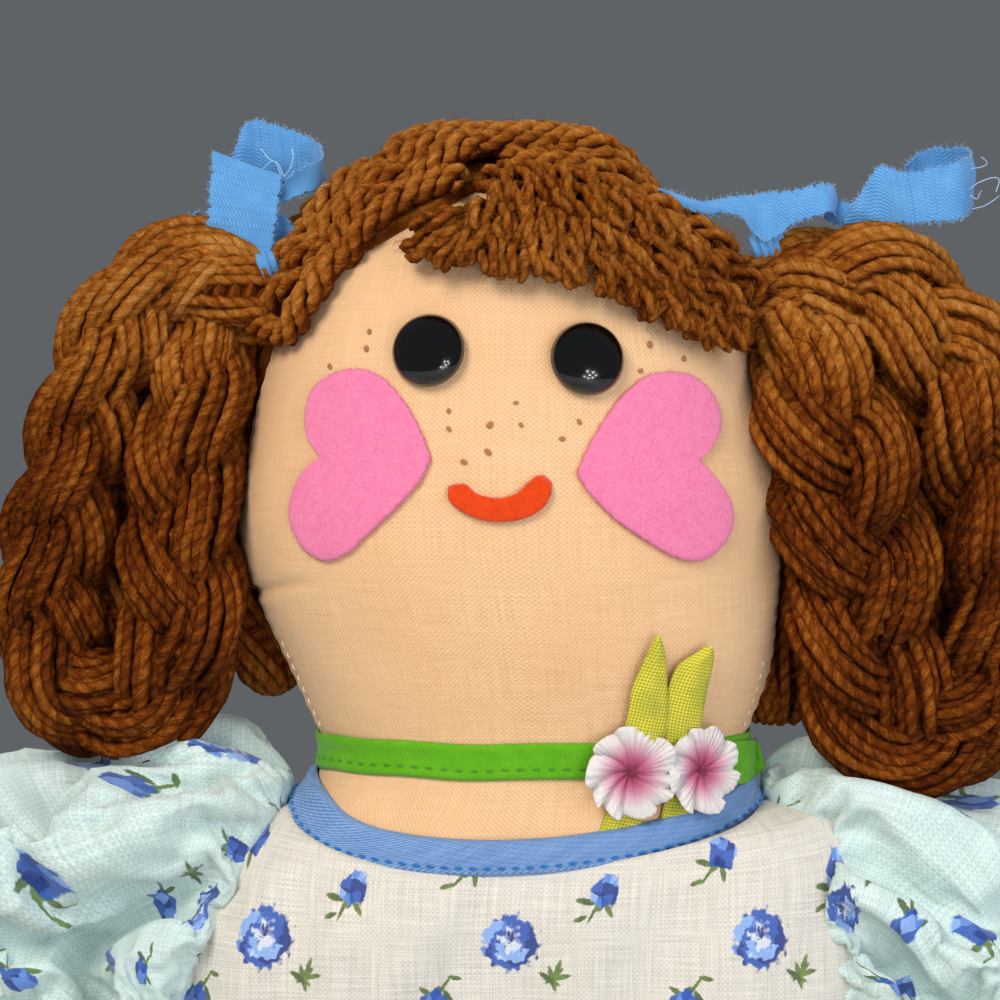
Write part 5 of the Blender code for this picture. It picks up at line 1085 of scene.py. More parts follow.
for label, sign in (("right", -1.0), ("left", 1.0)):
    look = sleeveLook[label]
    a = turns(sleeveLook["around"])  # 0 up, a quarter turn towards the back
    backwards = bell((a - 0.7 + math.pi) % turn - math.pi, 0.6)
    path = armPath(600, sleeveLook["length"] + sleeveLook["frill"])
    tangent = unit(np.gradient(path, axis=0))
    cuffAt = sleeveLook["length"] / (sleeveLook["length"] + sleeveLook["frill"])
    hole = dress["armhole"]
    rootY = (hole["halfDepth"] + 0.0012) * np.sin(a)
    rootZ = hole["height"] + (hole["halfHeight"] + 0.0012) * np.cos(a)
    # the armhole's edge lies on the bodice
    (aHalf, bHalf, lean), _ = sectionAt(forms["torso"], rootZ)
    rootX = aHalf * (1 - np.clip(np.abs(rootY / bHalf), 0, 0.97) ** 2.2) ** (1 / 2.2) + sign * lean
    rootX = rootX + 0.0016 + bulgeAt(label, rootZ) * (1 - 0.6 * softStep(rootY / 0.02))
    root = np.stack([rootX, rootY, rootZ], 1)
    grid = []
    s = np.concatenate([np.linspace(0, cuffAt, sleeveLook["rows"] - 5), np.linspace(cuffAt, 1, 6)[1:]])
    for stop in s:
        i = int(round(stop * 599))
        (x, zc), (tx, tz) = path[i], tangent[i]
        share = min(stop / cuffAt, 1.0)
        past = max(0.0, (stop - cuffAt) / (1 - cuffAt))
        swell = math.sin(math.pi * share ** 0.72) ** 0.75 if share < 1 else 0.0
        mouth = hole["halfHeight"] * (1 - share) + sleeveLook["cuff"] * share
        upper = mouth + (look["puff"] + look["rise"]) * swell
        under = mouth + look["puff"] * 0.25 * swell
        depth = mouth * (1 - 0.10 * (1 - share)) + look["puff"] * swell
        # gathers: fine and deep where the cloth is drawn in, opening into a few soft folds over the puff
        drawn = bell(share, 0.20) + bell(share - 1, 0.18)
        gathers = 0.0014 * drawn * np.sin(sleeveLook["gathers"] * a + 1.1 * np.sin(3 * a + look["seed"]))
        gathers = gathers + 0.0020 * swell * np.sin(7 * a + 2.0 * share + np.sin(2 * a + look["seed"]))
        for fold, at, long, deep in look["folds"]:
            near = np.abs((a - math.pi * 1.5 - fold + math.pi) % turn - math.pi)
            valley = bell(near, 0.17 + 0.06 * share) - 0.5 * bell(near - 0.36, 0.20)
            gathers = gathers - deep * swell * valley * bell(share - at, long)
        if past > 0:
            upper = under = depth = sleeveLook["cuff"] + 0.0045 * softStep(past) ** 0.8
            gathers = (0.0012 + 0.0016 * past) * np.sin(sleeveLook["gathers"] * a + 0.8 * np.sin(3 * a))
        reach = np.where(np.cos(a) > 0, upper, under) + look["behind"] * swell * backwards
        lengthwise = (reach + gathers) * np.cos(a)
        ring = np.stack([x - tz * lengthwise, (depth + gathers) * np.sin(a), zc + tx * lengthwise], 1)
        mix = softStep(share / 0.30)
        start = root + np.array([1.0, 0, 0]) * (0.020 * share) + np.stack([0 * a, np.sin(a), np.cos(a)], 1) * (
            look["puff"] * (share / 0.3) ** 0.6 * 0.8 + gathers[:, None]
            + (look["rise"] * 0.55 * np.clip(np.cos(a), 0, 1) + look["behind"] * 0.6 * backwards)[:, None] * share / 0.3)
        grid.append(start * (1 - mix) + ring * mix)
    grid = np.array(grid)
    lumps = 0.0022 * ripple(grid, 0.030, look["seed"]) * np.sin(math.pi * np.clip(s / cuffAt, 0, 1))[:, None]
    grid = grid + gridNormals(grid, True) * lumps[..., None]
    held = np.zeros(grid.shape[:2], bool)
    held[:2] = held[-7:-4] = True
    grid[..., 0] *= sign
    grid = settleCloth(label + "_sleeve_drape", grid, held, sleeveLook["cloth"])
    # the cloth stays outside the body it settled against
    (aHalf, bHalf, lean), _ = sectionAt(forms["torso"], np.clip(grid[..., 2], 0.1, torsoTop))
    inside = (np.abs(grid[..., 1]) < bHalf * 0.9)
    least = aHalf * (1 - np.clip(np.abs(grid[..., 1] / bHalf), 0, 0.97) ** 2.2) ** (1 / 2.2) + sign * lean + 0.0012
    grid[..., 0] = np.where(inside, sign * np.maximum(sign * grid[..., 0], least), grid[..., 0])
    grid = finer(grid)
    uv = lengthUv(grid, 0, True)
    uv[..., 0] = np.arange(grid.shape[1] + 1) / grid.shape[1] * 0.34
    piece = clothShell(label + "_sleeve_cloth", grid, sleeveLook["thickness"], sleeveVoile, uv, closedColumns=True,
                       outwards=-sign)
    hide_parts(label + "_sleeve")
    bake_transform(piece)
print("sleeves made")


# ---- skirt, in two halves that meet in a fold at the middle of the front and back

legLook = {"spacing": 0.078, "forward": 0.040, "radius": 0.0255, "length": 0.215, "splay": math.radians(6),
           "shares": ((0.0, 1.0), (0.30, 0.95), (0.52, 0.86), (0.68, 0.90), (0.84, 0.74), (0.93, 0.68), (1.0, 0.70))}
legTable = smoothCurve(legLook["shares"], 200)


def legRadius(distance):
    return legLook["radius"] * np.interp(distance / legLook["length"], legTable[:, 0], legTable[:, 1])


def lapHeight(x, y):  # cloth over both legs: level across the lap, falling off outside it
    distance = np.clip((-legLook["forward"] - y) / math.cos(legLook["splay"]), 0, legLook["length"])
    centre = legLook["spacing"] / 2 + distance * math.sin(legLook["splay"])
    radius = legRadius(distance)
    outside = softStep((np.abs(x) - centre - radius * 0.75) / (radius * 0.9))
    dip = 0.16 * radius * (1 - softStep(np.abs(x) / (legLook["spacing"] / 2)))
    inFront = softStep((-y - legLook["forward"] + legLook["radius"] * 1.6) / legLook["radius"])
    return (2 * radius + 0.0040 - dip) * (1 - outside) * inFront


skirtLook = {"around": 420, "rows": 78, "front": 0.088, "side": 0.052, "back": 0.050, "hem": 0.0030, "folds": 12,
             "fold": 0.0042, "gathers": 44, "gather": 0.0016, "thickness": 0.0005, "floor": 0.0014, "soft": 0.0084,
             "flat": (0.33, 0.130)}
half = skirtLook["around"] // 2
a = -math.pi / 2 + turns(skirtLook["around"])
waist = dress["waist"] + 0.0003
start = roundForm(forms["torso"], a, np.full(a.shape, waist), 0.0024)
front, back = np.clip(-np.sin(a), 0, 1) ** 1.3, np.clip(np.sin(a), 0, 1) ** 1.3
reach = skirtLook["side"] + (skirtLook["front"] - skirtLook["side"]) * front + (
    skirtLook["back"] - skirtLook["side"]) * back
outwards = np.stack([np.cos(a), np.sin(a)], 1)
rows = []
for share in np.linspace(0, 1, skirtLook["rows"]):
    # each row lies further out from the waist and lower, folded round a wave that widens towards the hem
    spread = math.sin(share * math.pi / 2) ** 0.9
    wide = np.cos(skirtLook["folds"] * a + 0.5 * np.sin(3 * a))
    fold = skirtLook["fold"] * wide * min(1, share * 1.6)
    fine = skirtLook["gather"] * np.sin(skirtLook["gathers"] * a + 1.5 * np.sin(5 * a)) * bell(share - 0.04, 0.20)
    plan = start[:, :2] + outwards * (reach * spread + fold + fine)[:, None]
    z = waist - (waist - skirtLook["hem"]) * (1 - math.cos(share * math.pi / 2) ** 1.25)
    legTop = lapHeight(plan[:, 0], plan[:, 1])
    lap = legTop + 0.0018 * (wide + 0.6 * np.sin(23 * a + 4 * share)) * min(1, share * 2)
    over = skirtLook["soft"] * np.logaddexp(z / skirtLook["soft"], lap / skirtLook["soft"])
    height = z + (over - z) * softStep(legTop / 0.012) if share > 0 else np.full(a.shape, z)
    rows.append(np.column_stack([plan, np.clip(height, skirtLook["hem"], waist)]))
grid = np.array(rows)
spread = np.linspace(0, 1, skirtLook["rows"])[:, None]
grid = grid + gridNormals(grid, True) * (0.0012 * ripple(grid, 0.045, 51) * np.minimum(1, spread * 3))[..., None]
grid[..., 2] = np.maximum(grid[..., 2], skirtLook["floor"])
for label, sign, first in (("left", 1.0, 0), ("right", -1.0, half)):
    part = grid[:, (np.arange(half + 1) + first) % (2 * half)]
    uv = pairs((np.arange(half + 1) + first)[None, :] / half * skirtLook["flat"][0], -downLengths(part)[:, None])
    piece = clothShell(label + "_skirt_cloth", part, skirtLook["thickness"], sleeveVoile, uv)
    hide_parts("skirt")
    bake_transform(piece)
print("skirt made")


# ---- stuffed body and limbs

def stuffedCopy(name, node, place, voxel=0.0022, smooth=10, lump=0.0005, seed=61):
    # the solid's own form in a fine even mesh, smoothed, then swollen and puckered a little by soft lumps
    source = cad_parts[node]
    made = bmesh.new()
    made.from_mesh(source.data)
    bmesh.ops.remove_doubles(made, verts=made.verts, dist=1e-6)
    mesh = bpy.data.meshes.new(name)
    made.to_mesh(mesh)
    made.free()
    piece = bpy.data.objects.new(name, mesh)
    bpy.context.scene.collection.objects.link(piece)
    for kind, settings in (("REMESH", {"mode": "VOXEL", "voxel_size": voxel}),
                           ("SMOOTH", {"factor": 0.5, "iterations": smooth})):
        modifier = piece.modifiers.new(kind.lower(), kind)
        for key, value in settings.items():
            setattr(modifier, key, value)
    shaped = bpy.data.meshes.new_from_object(piece.evaluated_get(bpy.context.evaluated_depsgraph_get()))
    piece.modifiers.clear()
    piece.data = shaped
    shaped.name = name
    count = len(shaped.vertices)
    points, normals = np.empty(count * 3, np.float32), np.empty(count * 3, np.float32)
    shaped.vertices.foreach_get("co", points)
    shaped.vertices.foreach_get("normal", normals)
    points, normals = points.reshape(-1, 3).astype(float), normals.reshape(-1, 3)
    points += normals * (lump * ripple(points, 0.03, seed))[:, None]
    points[:, 2] = np.maximum(points[:, 2], 0.0)
    shaped.vertices.foreach_set("co", points.astype(np.float32).ravel())
    corners = np.empty(len(shaped.loops), np.int32)
    shaped.loops.foreach_get("vertex_index", corners)
    uv = np.asarray(place(points), np.float32)[corners]
    layer = shaped.uv_layers.new(name="UVMap")
    layer.data.foreach_set("uv", uv.ravel())
    shaped.polygons.foreach_set("use_smooth", np.ones(len(shaped.polygons), bool))
    shaped.materials.clear()
    shaped.materials.append(muslin)
    shaped.update()
    return piece


angles = turns(200)
heights = profileHeights(forms["torso"], 100)
torsoGrid = roundForm(forms["torso"], angles[None, :], heights[:, None])
rise = np.minimum(1, (forms["torso"]["height"] - heights) / 0.01)[:, None]
lumps = 0.0006 * ripple(torsoGrid, 0.03, 61) * rise
torsoGrid = torsoGrid + formNormals(forms["torso"], torsoGrid) * lumps[..., None]
torso = closedForm("torso_skin", torsoGrid, muslin)
put(torso, "doll", ["torso"])
for label, sign in (("left", 1.0), ("right", -1.0)):
    arm = stuffedCopy(label + "_arm_skin", label + "_arm", lambda p: np.stack([
        np.arctan2(p[:, 1], np.abs(p[:, 0]) * 0.77 + (p[:, 2] - 0.150) * 0.64 - 0.063) * 0.02,
        np.abs(p[:, 0]) * 0.64 - p[:, 2] * 0.77], 1), seed=62)
    put(arm, label + "_arm", [label + "_arm"])
    leg = stuffedCopy(label + "_leg_skin", label + "_leg", lambda p: np.stack([
        np.arctan2(np.abs(p[:, 0]) - 0.05, p[:, 2] - 0.025) * 0.024, p[:, 1] - p[:, 2] * (p[:, 1] < -0.24)], 1), seed=63)
    put(leg, label + "_leg", [label + "_leg"])
print("body made")


# a band of elastic round each arm in the sleeve's hem, and the small buttons down the back
elasticLook = {"halfWidth": 0.0020, "inner": 0.0196, "outer": 0.0201, "round": 0.0006, "ribs": 30, "rib": 0.00012}
for label, sign in (("left", 1.0), ("right", -1.0)):
    path = armPath(600)
    i = int(sleeveLook["length"] / 0.150 * 599)
    along = unit(np.gradient(path, axis=0))[i]
    a = turns(96)
    s = np.linspace(-1, 1, 9)
    outer = elasticLook["outer"] + elasticLook["round"] * (1 - s ** 8)
    grid = []
    for k, reach in [*zip(s, outer)] + [(k, elasticLook["inner"]) for k in s[::-2]]:
        x, z = path[i] + along * (k * elasticLook["halfWidth"])
        ribbed = reach + elasticLook["rib"] * np.sin(a * elasticLook["ribs"])
        grid.append(np.stack([sign * (x - along[1] * ribbed * np.cos(a)), ribbed * np.sin(a),
                              z + along[0] * ribbed * np.cos(a)], 1))
    piece = hoop(label + "_hem_elastic", np.array(grid), elasticMaterial, sign > 0)
    put(piece, label + "_arm", [label + "_sleeve_elastic"])
for i in range(3):
    low, high = [np.array(corner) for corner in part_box(f"back_button_{i + 1}")]
    middle = (low + high) / 2
    spot = frontOf(forms["torso"], np.array(middle[0]), np.array(middle[2]), 0.0050, side=1.0)
    out = formNormals(forms["torso"], spot)
    # a shallow dish with a rounded rim: radius and height of each ring
    profile = np.array([(0.0004, 0.0), (0.0036, 0.0), (0.0042, 0.0004), (0.0045, 0.0010), (0.0044, 0.0016),
                        (0.0040, 0.0020), (0.0035, 0.0019), (0.0031, 0.0015), (0.0015, 0.0014), (0.0004, 0.0014)])
    grid = spot + profile[:, 1][:, None, None] * out + profile[:, 0][:, None, None] * circle(turns(64), *axesOn(out))
    put(closedForm(f"back_button_disc_{i + 1}", grid, pearlPlastic), "doll", [f"back_button_{i + 1}"])


# ---- bows: torn strips of blue cotton

frayThread, tree, shader = startMaterial("frayed cotton thread", {"Roughness": 0.8, "Sheen Weight": 0.3})
tree.links.new(tint(tree, noise(tree, objectPlace(tree), 300.0), "6fb0ec", "cfe2f5"), shader.inputs["Base Color"])

bowLook = {"thickness": 0.0005, "across": 34, "step": 0.0005, "least": 0.0102,
           "knots": {"right": (268, 268, -0.0120), "left": (765, 245, -0.0105)}}
# each strip from one end to the other: a pixel and depth in metres on one torn edge, then the same on the other
strips = {
    "right": {
        "front_tail": ((214, 152, -0.0115, 284, 177, -0.0120), (212, 180, -0.0125, 280, 197, -0.0130),
                       (210, 212, -0.0128, 277, 222, -0.0138), (209, 236, -0.0120, 274, 244, -0.0135),
                       (226, 252, -0.0105, 271, 262, -0.0135), (250, 262, -0.0100, 268, 276, -0.0135)),
        "loop": ((232, 165, 0.0000, 242, 222, 0.0010), (243, 130, 0.0020, 250, 196, 0.0020),
                 (257, 122, 0.0045, 264, 188, 0.0040), (286, 130, 0.0065, 291, 188, 0.0060),
                 (312, 140, 0.0045, 314, 188, 0.0045), (322, 149, -0.0010, 323, 187, 0.0000),
                 (322, 160, -0.0065, 320, 190, -0.0055), (304, 168, -0.0095, 302, 196, -0.0085),
                 (286, 180, -0.0110, 284, 203, -0.0095), (275, 194, -0.0095, 276, 214, -0.0075),
                 (272, 214, -0.0085, 288, 222, -0.0080), (271, 234, -0.0095, 299, 236, -0.0090),
                 (270, 252, -0.0105, 294, 250, -0.0100)),
        "small_loop": ((216, 226, -0.0030, 220, 250, -0.0040), (206, 217, -0.0020, 210, 244, -0.0030),
                       (196, 213, -0.0030, 198, 243, -0.0030), (185, 224, -0.0060, 189, 246, -0.0050),
                       (183, 238, -0.0090, 190, 252, -0.0080), (200, 244, -0.0100, 210, 262, -0.0100)),
    },
    "left": {
        "inner_tail": ((656, 188, -0.0150, 662, 195, -0.0155), (680, 196, -0.0155, 683, 207, -0.0165),
                       (702, 201, -0.0155, 706, 213, -0.0170), (736, 197, -0.0150, 738, 218, -0.0165),
                       (762, 195, -0.0140, 764, 243, -0.0150), (792, 191, -0.0130, 791, 226, -0.0150),
                       (824, 184, -0.0120, 826, 214, -0.0140), (834, 192, -0.0080, 834, 216, -0.0090),
                       (822, 198, -0.0050, 824, 220, -0.0060)),
        "link": ((822, 200, -0.0070, 826, 222, -0.0080), (840, 203, -0.0080, 838, 225, -0.0090),
                 (858, 205, -0.0090, 850, 228, -0.0100)),
        "outer_tail": ((842, 221, -0.0100, 845, 227, -0.0100), (858, 196, -0.0115, 862, 227, -0.0120),
                       (878, 168, -0.0130, 886, 226, -0.0140), (904, 174, -0.0135, 912, 224, -0.0150),
                       (934, 169, -0.0130, 940, 222, -0.0145), (956, 163, -0.0110, 962, 218, -0.0125),
                       (969, 158, -0.0050, 971, 210, -0.0060), (965, 150, 0.0010, 968, 198, 0.0010),
                       (944, 148, 0.0040, 948, 190, 0.0040), (920, 152, 0.0050, 923, 186, 0.0050),
                       (902, 167, 0.0040, 905, 184, 0.0040)),
    },
}


def strandPath(name, points, thick, material, body):  # one loose thread: a six-sided tube along a curve
    path = smoothCurve(points, 40)
    _, side, up = axesAlong(path, np.array([0.1, 1.0, 0.2]))
    grid = path[:, None] + thick * circle(turns(6), side[:, None], up[:, None])
    return put(closedForm(name, grid, material), body)


def inWorld(px, py, y):
    x, z = fromPixels(np.array([px, py], float), y)
    return float(x), float(y), float(z)


for label, parts in strips.items():
    for part, rows in parts.items():
        edges = np.array([[*inWorld(*row[:3]), *inWorld(*row[3:])] for row in rows])
        length = distances(edges[:, :3])[-1] * 1.04
        smooth = smoothCurve(edges, int(length / bowLook["step"]))
        t = np.linspace(0, 1, bowLook["across"])[None, :, None]
        grid = smooth[:, None, :3] * (1 - t) + smooth[:, None, 3:] * t
        normals = gridNormals(grid)
        crease = 0.0007 * np.sin(t[..., 0] * math.pi) + 0.0005 * ripple(grid, 0.014, 71)
        frayed = 0.00025 * chance.normal(size=(len(grid), 2))
        grid = grid + normals * crease[..., None]
        acrossWay = unit(grid[:, -1] - grid[:, 0])
        grid[:, 0] += acrossWay * frayed[:, :1]
        grid[:, -1] += acrossWay * frayed[:, 1:]
        piece = clothShell(f"{label}_bow_{part}", grid, bowLook["thickness"], tornCotton)
        put(piece, "doll", [label + "_bow"])
        flat = (max(bowLook["least"], shownArea(grid) / length), max(bowLook["least"], length))
        # short threads stand out of both torn edges
        roots = np.concatenate([grid[:, 0], grid[:, -1]] * 2)
        ways = np.concatenate([-acrossWay, acrossWay] * 2)
        roots = roots + chance.normal(size=roots.shape) * 0.00015
        fray = fuzzRun(f"{label}_bow_{part}_fray", roots, ways, 0.0011, 0.0, 0.00006, frayThread)
        put(fray, "doll")
    sign = -1.0 if label == "right" else 1.0
    # the tie round the gathered hair, creased lengthwise, and the knot on top of it
    a = turns(160)
    profile = [(k, 0.0068 + 0.0010 * (1 - abs(k) ** 6) + 0.0004 * math.sin(9 * k)) for k in np.linspace(-1, 1, 19)]
    profile += [(k, 0.0061) for k in np.linspace(-1, 1, 19)[::-3]]
    grid = []
    for k, reach in profile:
        creased = reach + 0.0003 * np.sin(5 * a + 7 * k)
        grid.append(np.stack([np.full(160, sign * (0.0700 + 0.0036 * k)) + 0.0006 * np.sin(2 * a),
                              -0.006 + creased * np.sin(a), 0.3118 + creased * np.cos(a)], 1))
    put(hoop(label + "_bow_tie", np.array(grid), tornCotton, sign > 0), "doll", [label + "_bow"])
    knotAt = np.array(inWorld(*bowLook["knots"][label]))
    polar = np.linspace(0.02, math.pi - 0.02, 44)[:, None]
    ball = np.stack(np.broadcast_arrays(np.sin(polar) * np.cos(a), np.sin(polar) * np.sin(a), np.cos(polar)), -1)
    creases = 1 + 0.09 * np.sin(7 * ball[..., 0] * 2 + 5 * ball[..., 2]) * np.sin(polar)
    ball = ball * creases[..., None] * np.array([0.0046, 0.0038, 0.0044])
    put(closedForm(label + "_bow_knot", (knotAt + ball)[::-1], tornCotton), "doll", [label + "_bow"])
looseThreads = {
    "right": (((284, 177), (279, 165), (270, 160), (262, 150)), ((284, 178), (291, 170), (294, 158), (293, 150)),
              ((322, 187), (327, 186), (331, 185)), ((283, 180), (276, 163), (268, 166), (262, 172))),
    "left": (((968, 190), (976, 184), (990, 179), (997, 181), (994, 193)), ((970, 210), (982, 207), (992, 201), (997, 197)),
             ((969, 170), (980, 168), (985, 164), (979, 158)), ((968, 196), (975, 200), (978, 194), (980, 192))),
}
for label, threads in looseThreads.items():
    for i, pixels in enumerate(threads):
        step = 1 if label == "right" else -1
        points = [inWorld(*pixel, -0.0120 + 0.001 * k * step) for k, pixel in enumerate(pixels)]
        strandPath(f"{label}_bow_thread_{i + 1}", points, 0.00012, frayThread, "doll")
print("bows made")


# ---- yarn hair

def yarnRun(name, paths, outward, radius, shade, sides=yarnLook["sides"]):
    # many yarns at once, each a path of points. Round each point stands a ring whose radius swells twice a turn,
    # and the swelling winds along the yarn as its two plies do; both ends round off to a closed tip
    count, length = paths.shape[:2]
    _, side, up = axesAlong(paths, np.broadcast_to(outward, paths.shape))
    travelled = distances(paths) + chance.uniform(0, 1, (count, 1))
    a = np.arange(sides + 1) / sides * turn
    lobes = 1 - yarnLook["lobe"] * np.cos(2 * (a + travelled[..., None] * turn / yarnLook["plyTurn"]))
    tip = np.minimum(np.arange(length), np.arange(length)[::-1])
    reach = np.broadcast_to(np.asarray(radius), (count, length)) * np.interp(tip, [0, 1, 2], [0.35, 0.8, 1.0])
    rings = paths[:, :, None] + (reach[..., None] * lobes)[..., None] * circle(a, side[:, :, None], up[:, :, None])
    uv = pairs(a / turn, travelled[..., None])
    faces = tubeFaces(count, length, sides)
    capUv = uv[:, :, :-1].reshape(-1, 2)[faces[1]].reshape(-1, 2)
    # painted shade: each yarn's colour is darker on the side that faces in, as if shaded in the creases between yarns
    shades = np.asarray(shade, float).reshape(count, -1)[:, :, None] - yarnLook["crease"] * (1 - np.sin(a[:-1])) ** 1.5
    return meshPiece(name, rings[:, :, :-1].reshape(-1, 3), faces, np.vstack([cornerUvs(uv), capUv]), yarn,
                     {"shade": np.broadcast_to(shades, (count, length, sides))})


def bundle(path, outward, radius, yarns, twist, thick, wander=0.12):
    # yarns laid side by side round a path: the ring of yarns turns slowly as it goes, each a little off its place
    _, side, up = axesAlong(path, outward)
    travelled = distances(path)
    start = np.arange(yarns)[:, None] / yarns * turn + chance.uniform(-0.12, 0.12, (yarns, 1))
    wave = np.sin(travelled / 0.017 + chance.uniform(0, turn, (yarns, 1)))
    angle = start + travelled * twist + 0.16 * wave
    reach = (radius - thick)[None, :] * (1 + wander * np.sin(travelled / 0.011 + chance.uniform(0, turn, (yarns, 1))))
    return path[None] + reach[..., None] * circle(angle, side[None], up[None])


pigtails = {
    "right": {
        "tie": (-0.0666, -0.006, 0.3118), "period": 0.076, "phase": 0.4, "yarns": 19, "thick": 0.00162,
        # each point: x, y, z, then half the braid's swing to the side, its swing in depth, the strand's radius and
        # how far the flat of the braid is turned away from the front, in degrees
        "path": (
            (-0.0640, -0.006, 0.3185, 0.0015, 0.0015, 0.0050, 0), (-0.0730, -0.008, 0.3215, 0.0026, 0.0030, 0.0066, 10),
            (-0.0850, -0.009, 0.3190, 0.0044, 0.0045, 0.0078, 20), (-0.0955, -0.009, 0.3090, 0.0052, 0.0054, 0.0080, 30),
            (-0.1040, -0.008, 0.2920, 0.0054, 0.0056, 0.0080, 35), (-0.1105, -0.007, 0.2700, 0.0054, 0.0056, 0.0080, 35),
            (-0.1160, -0.006, 0.2460, 0.0056, 0.0056, 0.0082, 25), (-0.1175, -0.005, 0.2260, 0.0058, 0.0056, 0.0086, 15),
            (-0.1100, -0.005, 0.2105, 0.0060, 0.0058, 0.0090, 0), (-0.0965, -0.006, 0.2080, 0.0060, 0.0060, 0.0092, 0),
            (-0.0860, -0.009, 0.2180, 0.0062, 0.0060, 0.0094, 0), (-0.0822, -0.012, 0.2340, 0.0062, 0.0060, 0.0094, 0),
            (-0.0826, -0.012, 0.2540, 0.0060, 0.0060, 0.0094, 10), (-0.0812, -0.011, 0.2750, 0.0058, 0.0058, 0.0092, 15),
            (-0.0780, -0.008, 0.2920, 0.0044, 0.0048, 0.0086, 10), (-0.0770, -0.005, 0.3040, 0.0020, 0.0025, 0.0070, 0)),
        # plain bundles of yarn, each point x, y, z and radius: behind the loop's slot, and over the tie
        "behind": ((-0.0850, 0.006, 0.3080, 0.006), (-0.0960, 0.008, 0.2900, 0.010), (-0.1010, 0.008, 0.2650, 0.011),
                   (-0.1030, 0.008, 0.2400, 0.011), (-0.1010, 0.007, 0.2200, 0.009), (-0.0960, 0.004, 0.2120, 0.005)),
        "over_tie": ((-0.0540, -0.006, 0.3060, 0.0080), (-0.0620, -0.006, 0.3105, 0.0110), (-0.0700, -0.0065, 0.3135, 0.0121),
                     (-0.0780, -0.0075, 0.3160, 0.0117), (-0.0870, -0.009, 0.3150, 0.0090)),
        "nape": ((-0.0560, 0.006, 0.3240, 0.004), (-0.0660, 0.006, 0.3080, 0.007), (-0.0715, 0.005, 0.2850, 0.0085),
                 (-0.0730, 0.005, 0.2600, 0.0090), (-0.0690, 0.009, 0.2360, 0.0100), (-0.0625, 0.012, 0.2180, 0.0095),
                 (-0.0600, 0.014, 0.2100, 0.004)),
    },
    "left": {
        "tie": (0.0666, -0.006, 0.3118), "period": 0.084, "phase": 2.0, "yarns": 21, "thick": 0.00168,
        "path": (
            (0.0640, -0.006, 0.3165, 0.0015, 0.0015, 0.0052, 0), (0.0740, -0.009, 0.3180, 0.0040, 0.0034, 0.0074, 10),
            (0.0890, -0.011, 0.3150, 0.0078, 0.0056, 0.0094, 15), (0.1040, -0.011, 0.3050, 0.0082, 0.0064, 0.0096, 15),
            (0.1150, -0.010, 0.2880, 0.0080, 0.0064, 0.0094, 15), (0.1225, -0.009, 0.2650, 0.0078, 0.0064, 0.0092, 15),
            (0.1255, -0.008, 0.2400, 0.0078, 0.0064, 0.0092, 15), (0.1235, -0.007, 0.2180, 0.0078, 0.0064, 0.0092, 5),
            (0.1135, -0.006, 0.2030, 0.0080, 0.0064, 0.0096, 0), (0.1000, -0.006, 0.2020, 0.0086, 0.0066, 0.0100, 0),
            (0.0915, -0.009, 0.2160, 0.0094, 0.0068, 0.0102, 0), (0.0885, -0.012, 0.2350, 0.0100, 0.0070, 0.0102, 0),
            (0.0850, -0.015, 0.2580, 0.0102, 0.0070, 0.0102, 0), (0.0795, -0.017, 0.2790, 0.0096, 0.0068, 0.0100, 0),
            (0.0738, -0.015, 0.2950, 0.0064, 0.0050, 0.0090, 0), (0.0712, -0.009, 0.3060, 0.0025, 0.0025, 0.0074, 0)),
        "behind": ((0.0880, 0.006, 0.3040, 0.006), (0.1000, 0.008, 0.2870, 0.010), (0.1060, 0.008, 0.2650, 0.011),
                   (0.1080, 0.008, 0.2400, 0.011), (0.1070, 0.007, 0.2200, 0.009), (0.1040, 0.004, 0.2100, 0.005)),
        "over_tie": ((0.0540, -0.006, 0.3060, 0.0080), (0.0620, -0.006, 0.3100, 0.0110), (0.0700, -0.0065, 0.3122, 0.0121),
                     (0.0780, -0.008, 0.3140, 0.0121), (0.0870, -0.010, 0.3130, 0.0100)),
        "nape": ((0.0570, 0.006, 0.3220, 0.004), (0.0670, 0.006, 0.3060, 0.007), (0.0725, 0.005, 0.2840, 0.0085),
                 (0.0745, 0.005, 0.2600, 0.0090), (0.0730, 0.008, 0.2360, 0.0100), (0.0690, 0.010, 0.2150, 0.0105),
                 (0.0680, 0.010, 0.2020, 0.007)),
    },
}
toFront = np.array([0.0, -1.0, 0.0])
# painted shade: the cores are coloured dark so that the gaps between the yarns look shaded
fillingLook = (-1.3, 10)  # the dark core of a bundle: its shade, and its sides
